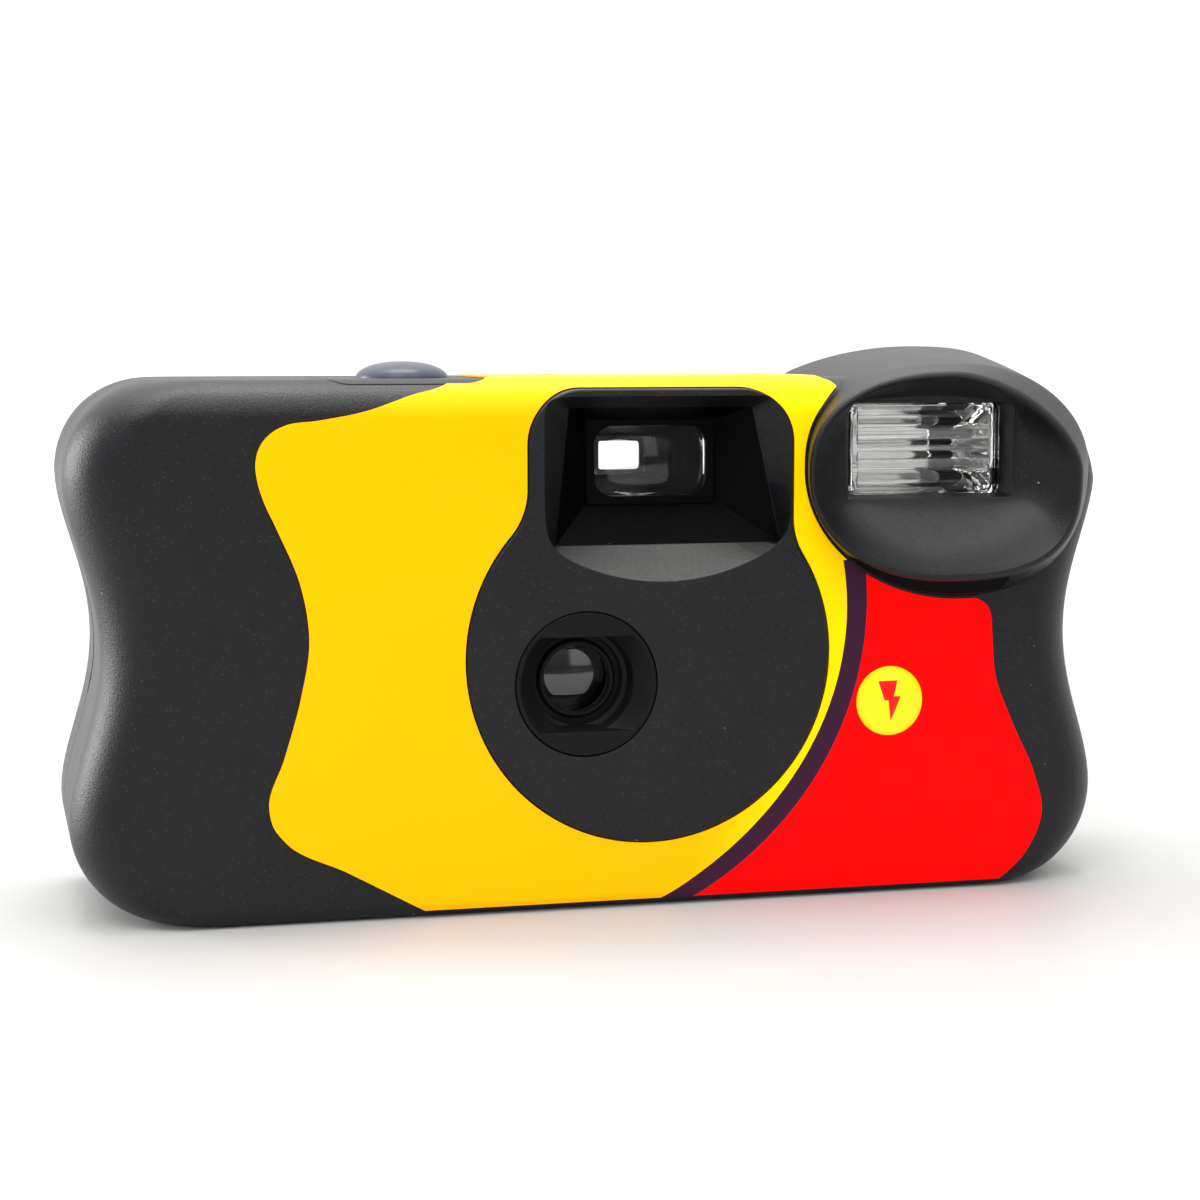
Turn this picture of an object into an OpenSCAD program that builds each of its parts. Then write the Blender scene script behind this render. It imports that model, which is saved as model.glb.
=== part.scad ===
// Single-use 35 mm film camera with a built-in flash, as an assembly of its separate pieces.
// Millimetres. X runs to the right seen from the front, Y from the front to the back, Z up.
// The origin is under the middle of the overall box, on the plane that the camera stands on.

/* [Body] */
// Width over the bulged ends
body_w = 118; // [117:1:129]
// Height of the flat top
body_h = 58.5; // [58:0.5:65]
// Depth from the front face to the back face
body_d = 32.5; // [32.5:0.5:34.5]
// Wall thickness of the two covers
wall = 1.5; // [1.3:0.1:1.6]
// How far the ends draw in at the waist
waist_in = 3.6; // [2.6:0.1:3.8]
// Corner radius at the top of the outline
corner_r = 10.5; // [9:0.5:11]
// Corner radius at the foot of the outline
foot_corner_r = 11; // [9.5:0.5:11.5]
// Rounding from the front face into the ends
front_edge_r = 7; // [6:0.5:7.5]
// Rounding from the back face into the ends
back_edge_r = 4; // [3:0.5:5]
// Height of the rounding along the top edges
top_edge_h = 4.2; // [3.4:0.2:4.6]
// Depth of the rounding along the top edges
top_edge_d = 5; // [4:0.5:6]
// Rounding along the bottom edges
foot_edge_r = 1.8; // [1.8:0.1:2.2]
// Depth of the front cover from the front face to the seam
seam_d = 20.5; // [20:0.5:21.5]
// Width of the seam between the covers
seam_gap = 0.24; // [0.16:0.04:0.32]

/* [Lens and front panel] */
// Lens axis to the left of the middle
lens_left = 3.5; // [3:0.1:4]
// Height of the lens axis and of the film's middle
lens_z = 25.2; // [25:0.1:25.6]
// Radius of the lens retainer's face
retainer_r = 7.95; // [7.4:0.05:8.3]
// Radius of the pocket in front of the lens
pocket_r = 5.9; // [5.4:0.1:6.2]
// Height between the pocket's two flats
pocket_flats = 10.6; // [10:0.1:11.2]
// Radius of the two lens elements
lens_r = 4.4; // [4.2:0.1:4.6]
// Radius of the round part of the front panel
panel_r = 20.6; // [19:0.2:21]
// Width of the panel's neck around the viewfinder
neck_w = 30; // [29:0.5:31]
// How far the panel stands in front of the face
panel_proud = 0.45; // [0.3:0.05:0.6]

/* [Viewfinder] */
// Viewfinder axis to the right of the lens axis
finder_right = 8.9; // [8.5:0.1:9.5]
// Clear width of the front viewfinder lens
finder_w = 13.8; // [12.5:0.1:14]
// Clear height of the front viewfinder lens
finder_h = 8.6; // [8:0.1:9]
// Clear width of the eyepiece
eyepiece_w = 8.4; // [7:0.2:9]
// Clear height of the eyepiece
eyepiece_h = 5.6; // [5:0.2:6.4]

/* [Flash] */
// How far the flash rim stands in front of the face
bezel_stand = 4.5; // [4:0.1:5]
// Width of the flash rim
bezel_w = 32.5; // [31.5:0.5:33]
// Rise of the flash housing over the flat top
hump_rise = 3.4; // [3:0.1:4]
// Width of the flash window
window_w = 18.4; // [17.4:0.2:18.8]
// Height of the flash window
window_h = 10.3; // [9.7:0.1:10.5]
// Radius of the flash charging button
flash_button_r = 3.95; // [3.6:0.05:4.1]

/* [Controls] */
// Radius of the shutter button
button_r = 5.15; // [4.8:0.05:5.2]
// Height of the shutter button's dome over the flat top
button_rise = 1.8; // [1.4:0.1:2.2]
// Travel of the shutter button
button_travel = 1; // [0.7:0.1:1.1]
// Travel of the flash charging button
flash_travel = 0.7; // [0.5:0.05:0.75]
// How far the winding wheel stands out of the back
wheel_proud = 1; // [0.8:0.1:1.4]
// Ridges around the winding wheel, a multiple of four
wheel_ridges = 48; // [40:4:56]

/* [Film and battery] */
// Radius of the film cartridge
cartridge_r = 12.5; // [12.3:0.1:12.5]
// Height of the film cartridge over its caps
cartridge_h = 44; // [43.4:0.2:44]
// Width of the film
film_w = 35; // [34.6:0.1:35]
// Width of the picture gate
gate_w = 36; // [34:0.5:36]
// Height of the picture gate
gate_h = 24; // [22:0.5:24]
// Radius of the film wound ready for use
roll_r = 8.5; // [7.5:0.1:8.5]
// Radius of the battery
cell_r = 7.2; // [7:0.05:7.25]
// Length of the battery with its terminal
cell_l = 50.5; // [49.5:0.1:50.5]

/* [Clearances] */
// Radial running clearance of a shaft in its bore
running = 0.05; // [0.03:0.01:0.08]
// Gap between pieces that only pass each other
pass = 0.3; // [0.25:0.05:0.35]
// Gap left where one piece is seated on another
seat = 0.04; // [0.02:0.01:0.06]

/* [Hidden] */
$fn = 48;

// Places that follow from the sizes above
overall_d = bezel_stand + body_d + wheel_proud;
front_y = bezel_stand - overall_d / 2;
back_y = front_y + body_d;
rim_y = front_y - bezel_stand;
seam_y = front_y + seam_d;
inside_front = front_y + wall;
inside_back = back_y - wall;
inside_top = body_h - wall;
inside_end = body_w / 2 - waist_in - wall;
waist_z = (foot_corner_r + body_h - corner_r) / 2;
waist_half = (body_h - corner_r - foot_corner_r) / 2;
lens_x = -lens_left;

// Film, gate and the deck over it
film_t = 0.16;
film_y = inside_back - 0.9;
film_top = lens_z + film_w / 2;
film_foot = lens_z - film_w / 2;
deck_foot = film_top + 0.2;
deck_t = 1;
deck_top = deck_foot + deck_t;
gate_t = 1.3;
gate_back = film_y - film_t / 2 - 0.22;
gate_front = gate_back - gate_t;

// Winding: cartridge, wheel and ratchet on one axis
cart_y = inside_back - pass - cartridge_r;
cart_foot = lens_z - cartridge_h / 2;
cart_top = lens_z + cartridge_h / 2;
chamber_gap = 0.45;
chamber_t = 1;
chamber_r = cartridge_r + chamber_gap;
chamber_out = chamber_r + chamber_t;
lid_foot = cart_top + 0.6;
lid_t = 0.8;
lid_top = lid_foot + lid_t;
ratchet_foot = lid_top + pass;
wheel_foot = ratchet_foot + 0.9;
wheel_t = 4.6;
wheel_top = wheel_foot + wheel_t;
wheel_r = back_y + wheel_proud - cart_y;
ratchet_r = 10.4;
cart_x = wheel_r + 0.5 - half_w(wheel_top, wall);

// Unexposed film on its own axis
supply_x = body_w / 2 - 21;
supply_y = film_y - film_t / 2 - 0.1 - roll_r;
supply_r = roll_r + 0.7;
supply_out = supply_r + 1;
supply_foot = film_foot - 1.5;
journal_r = 1.5;
core_r = 3.2;

// Sprocket, cam and counter
sprocket_r = 6.4;
sprocket_x = lens_x - 14;
sprocket_y = film_y - film_t / 2 - 0.2 - sprocket_r;
sprocket_foot = film_top - 4.2;
sprocket_t = 1.8;
shaft_r = 1.5;
pivot_r = 1;
cam_foot = deck_top + 0.7;
cam_t = 1.8;
cam_r = 4;
counter_r = 7;
counter_t = 0.8;
counter_foot = inside_top - pass - counter_t;
post_x = lens_x - 4.5;
post_y = 3;
post_r = 1.6;
spindle_r = 1.2;
axis_gap = norm([post_x - sprocket_x, post_y - sprocket_y]);
finger_r = axis_gap - counter_r - pass;

// Lens stack, front to back
retainer_face = front_y - panel_proud - 0.1;
pocket_floor = front_y + 5;
holder_front = pocket_floor + 0.9;
lens_front = holder_front + 0.2;
element_t = 1.2;
stop_t = 0.35;
flange_front = lens_front + 2 * element_t + stop_t + 4 * seat;
flange_t = 0.7;
blade_t = 0.3;
blade_gap = 0.25;
plate_front = flange_front + flange_t + 2 * blade_gap + blade_t;
plate_t = 1.2;
plate_back = plate_front + plate_t;
blade_y = plate_front - blade_gap - blade_t / 2;
iris_r = 3.2;
flange_w = 18;
flange_h = 15.6;
blade_dx = -5.5;
blade_dz = 14.8;
blade_disc = 4.2;
peg_r = 0.9;
pegs = [[6.8, 5.4], [6.8, -5.4], [-6.8, -6.6]];

// Battery tray
cell_y = inside_front + 0.4 + cell_r;
cell_z = wall + 0.4 + cell_r;
cell_left = cart_x + chamber_out + 0.65;
cell_right = cell_left + cell_l;
tray_back = cell_y + cell_r + 0.4;
contact_t = 0.4;
door_gap = 0.2;
door_left = cell_left - 0.2;
door_right = cell_right + 0.2;
door_front = cell_y - cell_r;
hinge_y = tray_back + 0.1;
hinge_z = 1.15;
hinge_r = 0.5;
knuckle_r = 0.75;
door_foot = 0.15;
door_swing_r = max(knuckle_r, hinge_z - door_foot);
door_heel_gap = 0.4;

// Viewfinder
finder_wall = 1;
finder_x = lens_x + finder_right;
finder_z = deck_top + seat + finder_wall + finder_h / 2;
finder_front = front_y + 6.6;
finder_back = inside_back - 0.2;
mouth = [finder_x - 10.3, deck_top - 3.3, finder_x + 13.6, body_h - 3.2];
mouth_back = front_y + 2.5;
mouth_lean_l = 1.4;
mouth_lean_r = 3.1;
scoop_x = finder_x + 0.9;
scoop_z = body_h - 3.5;
scoop_r = 19.5;
neck_x = lens_x + 8.6;
neck_top = body_h - 1.1;
panel_x = lens_x + 7.3;
panel_z = lens_z + 2.8;

// Flash housing: an egg outline that widens from the rim to the seam
flash_x = body_w / 2 - 21.75;
flash_z = body_h - 8.9;
rim = [flash_x, bezel_w / 2, 9.8, 13.2, bezel_w / 2];
base = [flash_x + 3.75, bezel_w / 2 - 1.25, 9.4, 15.4, bezel_w / 2 + 1.45];
tail = [flash_x + 4.55, body_w / 2 - 1.2 - flash_x - 4.55, hump_rise + 8.9, 15.4, 21.4];
fade = [flash_x + 1.5, bezel_w / 2, 8.2, 12, bezel_w / 2];
window_x = flash_x - 0.25;
window_z = flash_z + 0.75;
dish_floor = front_y - 0.3;
window_front = front_y + 3.1;
collar_back = window_front + 1.2;
window_back = collar_back + 0.75;

// Flash charging button and shutter button
flash_button_x = lens_x + 35.3;
flash_button_z = lens_z - 3.1;
button_x = lens_x - 18;
button_y = -2;
button_flange_r = button_r + 0.7;
button_flange_t = 0.7;
hole_gap = 0.2;
stem_r = 1.6;
lamp_x = finder_x + 13.3;
lamp_r = 2;
lamp_hole_r = 2.2;
lamp_y = plate_front - 0.3;

// Circuit board behind the front face
board_left = cell_right + 2.4;
board_right = inside_end - 2.4;
board_front = front_y + 3.6;
board_t = 1.2;
board_back = board_front + board_t;
board_foot = 4.5;
board_top = deck_foot - 0.7;
cap_r = 4.3;
cap_x = inside_end - 0.6 - cap_r;
cap_y = board_back + 0.6 + cap_r;
stand_x = supply_x + 4;

// Levers' pivots on the deck
release_x = button_x - 0.8;
release_y = button_y + 0.6;
pawl_r = 12.6;
pawl_root_a = -40;
pawl_tip_a = -75;
pawl_x = cart_x + pawl_r * cos(pawl_root_a);
pawl_y = cart_y + pawl_r * sin(pawl_root_a);
lever_t = 1.6;
arm_w = 1.4;
spring_wire = 0.2;

// Flash reflector and tube behind the window
reflector_front = window_back + seat;
reflector_depth = 6.5;
reflector_half = window_h / 2 + 0.05;
tube_y = reflector_front + reflector_depth - 2.6;

// Crescents at the ends of the seam
notch_r = 12.2;
notch_gap = 1.1;

// Left and right edges of the printed label, as [height, x] pairs
label_t = 0.18;
label_rows = 34;
label_foot = 0.9;
label_top = body_h + hump_rise + 2.1;
left_end = -body_w / 2;
right_end = body_w / 2;
label_left = [
  [label_foot, left_end + 37.5], [5.6, left_end + 29], [9.2, left_end + 22.4], [11, left_end + 21.1],
  [13, left_end + 20.7], [waist_z - 11.2, left_end + 22.4], [waist_z - 4.5, left_end + 24.3],
  [waist_z + 1.3, left_end + 25.2], [waist_z + 7, left_end + 24.4], [body_h - 14.7, left_end + 21.7],
  [body_h - 9.5, left_end + 19.8], [body_h - 6.3, left_end + 20.8], [body_h - 3.9, left_end + 26],
  [body_h - 1.9, button_x - 3], [body_h - 0.5, button_x + 2], [label_top, button_x + 4.5]
];
label_right = [
  [label_foot, right_end - 13.5], [3.8, right_end - 10.4], [8.6, right_end - 8.4],
  [13, right_end - 9.4], [waist_z - 10.5, right_end - 12.2], [waist_z - 4.9, right_end - 14.4],
  [waist_z, right_end - 14.9], [flash_z - 18.2, right_end - 15], [flash_z - 16.8, right_end - 15.7],
  [flash_z - 16, right_end - 17.3], [flash_z - 15.7, flash_x + 1.75], [body_h - 5, flash_x + 1.75],
  [body_h - 2.6, flash_x - 11.6], [body_h - 1.2, flash_x - 11.4], [label_top, flash_x - 13.2]
];

function pts_arc(cx, cy, r, a0, a1, n) =
  [for (k = [0:n]) let (a = a0 + (a1 - a0) * k / n) [cx + r * cos(a), cy + r * sin(a)]];

// Half width of the outline at height z, drawn in by i; the waist follows a smooth bump
function half_w(z, i) =
  z > body_h - corner_r
    ? body_w / 2 - corner_r + sqrt(max(0, pow(corner_r - i, 2) - pow(z - body_h + corner_r, 2)))
    : z < foot_corner_r
    ? body_w / 2 - foot_corner_r + sqrt(max(0, pow(foot_corner_r - i, 2) - pow(foot_corner_r - z, 2)))
    : body_w / 2 - i - waist_in * pow(1 - pow((z - waist_z) / waist_half, 2), 2);

// Setback of the front and back faces at height z, drawn in by i
function edge_in(z, i) =
  z > body_h - top_edge_h
    ? top_edge_d - (top_edge_d - i) * sqrt(max(0, 1 - pow((z - body_h + top_edge_h) / (top_edge_h - i), 2)))
    : z < foot_edge_r
    ? foot_edge_r - (foot_edge_r - i) * sqrt(max(0, 1 - pow((foot_edge_r - z) / (foot_edge_r - i), 2)))
    : i;

// Level section of the body at height z, front left corner first, counter-clockwise from above
function level(z, i) =
  let (w = half_w(z, i), e = edge_in(z, i), f = front_y + e, b = back_y - e)
  let (rf = front_edge_r - i, rb = back_edge_r - i)
  [for (p = concat(
      pts_arc(rf - w, f + rf, rf, 180, 270, 8), pts_arc(w - rf, f + rf, rf, 270, 360, 8),
      pts_arc(w - rb, b - rb, rb, 0, 90, 5), pts_arc(rb - w, b - rb, rb, 90, 180, 5)))
    [p[0], p[1], z]];

function heights(i) = concat(
  [for (a = [0:10:80]) i + (foot_corner_r - i) * (1 - cos(a))],
  [for (k = [0:12]) foot_corner_r + (body_h - corner_r - foot_corner_r) * k / 12],
  [for (a = [80:-10:0]) body_h - i - (corner_r - i) * (1 - cos(a))]);

// Closed solid through a stack of rings with the same number of points
module loft(rings) {
  n = len(rings[0]);
  m = len(rings);
  polyhedron(
    points = [for (r = rings) each r],
    faces = concat(
      [[for (j = [0:n - 1]) j]],
      [for (k = [0:m - 2], j = [0:n - 1])
        [k * n + j, (k + 1) * n + j, (k + 1) * n + (j + 1) % n, k * n + (j + 1) % n]],
      [[for (j = [n - 1:-1:0]) (m - 1) * n + j]]),
    convexity = 8);
}

// Body solid drawn in by i all round
module skin(i) {
  loft([for (z = heights(i)) level(z, i)]);
}

// Flat shape given in X and Z, standing from y0 back to y1
module upright(y0, y1) {
  translate([0, y1, 0]) rotate([90, 0, 0]) linear_extrude(y1 - y0) children();
}

module box(low, high) {
  translate(low) cube(high - low);
}

// Round bar along Y
module pin_y(x, z, r, y0, y1) {
  translate([x, y0, z]) rotate([-90, 0, 0]) cylinder(r = r, h = y1 - y0);
}

// Round bar along X
module pin_x(y, z, r, x0, x1) {
  translate([x0, y, z]) rotate([0, 90, 0]) cylinder(r = r, h = x1 - x0);
}

module pin_z(x, y, r, z0, z1) {
  translate([x, y, z0]) cylinder(r = r, h = z1 - z0);
}

// Egg outline in X and Z: middle, reach to the right, rise, drop and reach to the left
module egg(e, i) {
  polygon([for (a = [0:8:352])
    [e[0] + ((cos(a) > 0 ? e[1] : e[4]) - i) * cos(a), flash_z + ((a < 180 ? e[2] : e[3]) - i) * sin(a)]]);
}

module pane(w, h, r) {
  hull() for (sx = [-1, 1], sz = [-1, 1])
    translate([sx * (w / 2 - r), sz * (h / 2 - r)]) circle(r, $fn = 32);
}

// Flash housing drawn in by i, from its rim to the seam
module housing(i) {
  skin_t = 0.02;
  hull() {
    upright(rim_y + i, rim_y + i + skin_t) egg(rim, i);
    upright(front_y, front_y + skin_t) egg(base, i);
    upright(seam_y, seam_y + skin_t) egg(tail, i);
  }
}

// Rear end of the housing, which dies away into the back cover
module housing_tail(i) {
  skin_t = 0.02;
  hull() {
    upright(seam_y, seam_y + skin_t) egg(tail, i);
    upright(back_y - 3, back_y - 3 + skin_t) egg(fade, i);
  }
}

// Bowl in front of the flash window, grown by i
module dish(i) {
  lip = 0.75;
  skin_t = 0.02;
  hull() {
    upright(rim_y - 0.1 + i, rim_y - 0.08 + i) egg(rim, lip - i * 0.4);
    upright(dish_floor + i - skin_t, dish_floor + i)
      translate([window_x, window_z]) pane(window_w + 1.2 + 2 * i, window_h + 1.2 + 2 * i, 1.5);
  }
}

// Key-shaped panel around the lens and the viewfinder, in X and Z
module keyhole(grow) {
  blend = 8;
  offset(r = grow) offset(r = -blend, $fn = 64) offset(r = blend, $fn = 64) {
    translate([panel_x, panel_z]) circle(panel_r, $fn = 96);
    translate([neck_x, neck_top - 15]) pane(neck_w, 30, 6);
  }
}

// Mouth of the viewfinder in X and Z, wider at its foot than at its top
module mouth_shape() {
  polygon([[mouth[0] - mouth_lean_l, mouth[1]], [mouth[2], mouth[1]],
           [mouth[2] - mouth_lean_r, mouth[3]], [mouth[0], mouth[3]]]);
}

// Funnel from the panel's mouth to the front viewfinder lens, grown by i
module funnel(i) {
  skin_t = 0.02;
  hull() {
    upright(mouth_back - skin_t, mouth_back)
      offset(delta = i) mouth_shape();
    upright(finder_front - 0.3, finder_front - 0.3 + skin_t)
      translate([finder_x, finder_z]) square([finder_w + 2 * i, finder_h + 2 * i], center = true);
  }
}

// Conical scoop that opens the funnel's mouth, wider at its top than the mouth itself
module scoop() {
  depth = 3.6;
  intersection() {
    translate([scoop_x, front_y - panel_proud - 0.01, scoop_z]) rotate([-90, 0, 0])
      cylinder(r1 = scoop_r, r2 = scoop_r - 4.6, h = depth, $fn = 96);
    upright(front_y - 2, mouth_back + 2)
      translate([finder_x + 0.1, mouth[3] + 1.2 - 12]) pane(27.4, 24, 4.5);
  }
}

// Opening for the battery door and its two hinge pins
module door_opening() {
  box([door_left - door_gap, door_front - door_gap, -1],
      [door_right + door_gap, hinge_y + door_swing_r + door_heel_gap, wall + 1]);
  hull() for (z = [hinge_z, wall + 1])
    pin_x(hinge_y, z, hinge_r + 0.1, door_left - 1.2, door_right + 1.2);
}

// Crescent by which the covers are prised apart at both ends
module end_notch(r) {
  reach = 10;
  for (s = [-1, 1])
    translate([s * body_w / 2, seam_y + reach, waist_z]) rotate([0, 90, 0])
      cylinder(r = r, h = 18, center = true, $fn = 96);
}

// Moulded front half: front face, flash housing, panel, and most of the ends, top and bottom
module front_cover() color([0.16, 0.16, 0.18]) difference() {
  union() {
    intersection() {
      skin(0);
      box([-body_w, front_y - 1, -1], [body_w, seam_y - seam_gap / 2, body_h + 1]);
    }
    intersection() {
      housing(0);
      box([-body_w, rim_y - 1, -1], [body_w, seam_y - seam_gap / 2, body_h + hump_rise + 1]);
    }
    upright(front_y - panel_proud, front_y + 4) keyhole(0);
  }
  difference() {
    union() {
      skin(wall);
      intersection() {
        housing(wall);
        box([0, front_y + wall, 0], [body_w, seam_y + 1, body_h + hump_rise]);
      }
    }
    box([-body_w, front_y - 9, -1], [body_w, inside_front, body_h + 9]);
    dish(wall);
    upright(dish_floor - 1, collar_back) translate([window_x, window_z])
      pane(window_w + 2.6, window_h + 2.6, 1.5);
    funnel(1.2);
    upright(inside_front - 1, mouth_back + 0.1) offset(delta = 1.2) mouth_shape();
    intersection() {
      pin_y(scoop_x, scoop_z, scoop_r - 2.6, inside_front - 1, mouth_back + 2.2);
      box([mouth[0] - 3.2, front_y, 0], [mouth[2] + 2, mouth_back + 2.2, inside_top]);
    }
  }
  dish(0);
  upright(rim_y, collar_back + 1) translate([window_x, window_z])
    pane(window_w + 0.2, window_h + 0.2, 1.1);
  scoop();
  funnel(0);
  upright(front_y - 1, mouth_back) mouth_shape();
  pin_y(lens_x, lens_z, retainer_r + 0.1, front_y - 1, inside_front + 1);
  pin_y(flash_button_x, flash_button_z, flash_button_r + hole_gap, front_y - 1, inside_front + 1);
  pin_z(button_x, button_y, button_r + hole_gap, inside_top - 1, body_h + 1);
  pin_z(lamp_x, lamp_y, lamp_hole_r, inside_top - 2, body_h + 9);
  counter_opening(0.1);
  end_notch(notch_r);
  door_opening();
}

// Counter window's outline over the counter wheel, grown by i
module counter_opening(i) {
  translate([post_x + 4.4, post_y, inside_top - 1]) linear_extrude(wall + 2)
    pane(4.2 + 2 * i, 3.4 + 2 * i, 0.8);
}

// Snap tongue under the top wall or over the bottom wall of the front cover
module snap(x, top) {
  reach = 2.2;
  half = 3;
  thick = 1.05;
  side = top ? -1 : 1;
  z0 = top ? inside_top : wall;
  translate([x, 0, z0]) scale([1, 1, side]) {
    box([-half, seam_y + 0.5, -0.3], [half, seam_y + 3, 0.15 + thick]);
    hull() {
      box([-half, seam_y - 1, 0.15], [half, seam_y + 3, 0.15 + thick]);
      box([-half, seam_y - reach, 0.4], [half, seam_y - reach + 0.2, 0.15 + thick]);
    }
  }
}

// Moulded back half with the winding slot, the eyepiece opening and its snap tongues
module back_cover() color([0.15, 0.15, 0.17]) difference() {
  union() {
    intersection() {
      union() {
        skin(0);
        housing_tail(0);
      }
      union() {
        box([-body_w, seam_y + seam_gap / 2, -1], [body_w, back_y + 1, body_h + hump_rise + 1]);
        end_notch(notch_r - notch_gap);
      }
    }
  }
  difference() {
    union() {
      skin(wall);
      intersection() {
        housing_tail(wall);
        box([0, seam_y - 1, 20], [body_w, inside_back - 2, body_h + hump_rise]);
      }
    }
    for (x = [-46, -30, finder_x + 10]) snap(x, true);
    for (x = [-10, 10, 42]) snap(x, false);
  }
  upright(inside_back - 1, back_y + 1) translate([cart_x, (wheel_foot + wheel_top) / 2])
    pane(2 * sqrt(pow(wheel_r, 2) - pow(inside_back - cart_y, 2)) + 2, wheel_t + 1, 1);
  hull() {
    upright(back_y - 0.9, back_y - 0.88) translate([cart_x, (wheel_foot + wheel_top) / 2])
      pane(22, wheel_t + 2.4, 2);
    upright(back_y + 0.1, back_y + 0.12) translate([cart_x, (wheel_foot + wheel_top) / 2])
      pane(26, wheel_t + 3.8, 2);
  }
  upright(inside_back - 1, back_y + 1) translate([finder_x, finder_z]) pane(eyepiece_w, eyepiece_h, 0.8);
  hull() {
    upright(back_y - 0.8, back_y - 0.78) translate([finder_x, finder_z])
      pane(eyepiece_w + 1, eyepiece_h + 1, 1.2);
    upright(back_y + 0.1, back_y + 0.12) translate([finder_x, finder_z])
      pane(eyepiece_w + 4, eyepiece_h + 3, 2);
  }
}

// Label's outline as a stack of rows between its two edges
module label_field() {
  step = (label_top - label_foot) / label_rows;
  for (k = [0:label_rows - 1]) hull() for (z = [label_foot + k * step, label_foot + (k + 1) * step])
    translate([lookup(z, label_left), z])
      square([lookup(z, label_right) - lookup(z, label_left), 0.01]);
}

// Printed label wrapped over the front face and the top, cut out around the panel and the flash
module front_label() color([1, 0.81, 0]) difference() {
  intersection() {
    difference() {
      skin(-label_t - seat);
      skin(-seat);
    }
    upright(front_y - 2, seam_y - seam_gap) label_field();
  }
  upright(front_y - 2, seam_y) keyhole(0.15);
  housing(-0.35);
  pin_y(flash_button_x, flash_button_z, flash_button_r + hole_gap, front_y - 2, front_y + 2);
  pin_z(lamp_x, lamp_y, lamp_hole_r + 0.1, body_h - 2, body_h + 2);
  pin_z(button_x, button_y, button_r + 1.4, body_h - 2, body_h + 2);
  counter_opening(0.3);
}

// Plain label stuck on the flat of the back cover
module back_label() color([1, 0.81, 0])
  upright(back_y + seat, back_y + seat + label_t)
    translate([finder_x + 8, (deck_top + 6) / 2]) pane(body_w - 50, deck_top - 8, 3);

// Hatch under the battery, on two pins at its rear edge
module battery_door() color([0.15, 0.15, 0.17]) {
  box([door_left, door_front, door_foot], [door_right, hinge_y, wall - 0.1]);
  pin_x(hinge_y, hinge_z, knuckle_r, door_left, door_right);
  pin_x(hinge_y, hinge_z, hinge_r, door_left - 1, door_right + 1);
}

// Pyramid of the light box drawn in by i
module light_box(i) {
  skin_t = 0.02;
  front_half = 5;
  hull() {
    upright(plate_back - skin_t, plate_back) translate([lens_x, lens_z])
      square(2 * (front_half + 1.2 - i), center = true);
    upright(gate_front, gate_front + skin_t) translate([lens_x, lens_z])
      square([gate_w + 2.4 - 2 * i, gate_h + 2.4 - 2 * i], center = true);
  }
}

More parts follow.
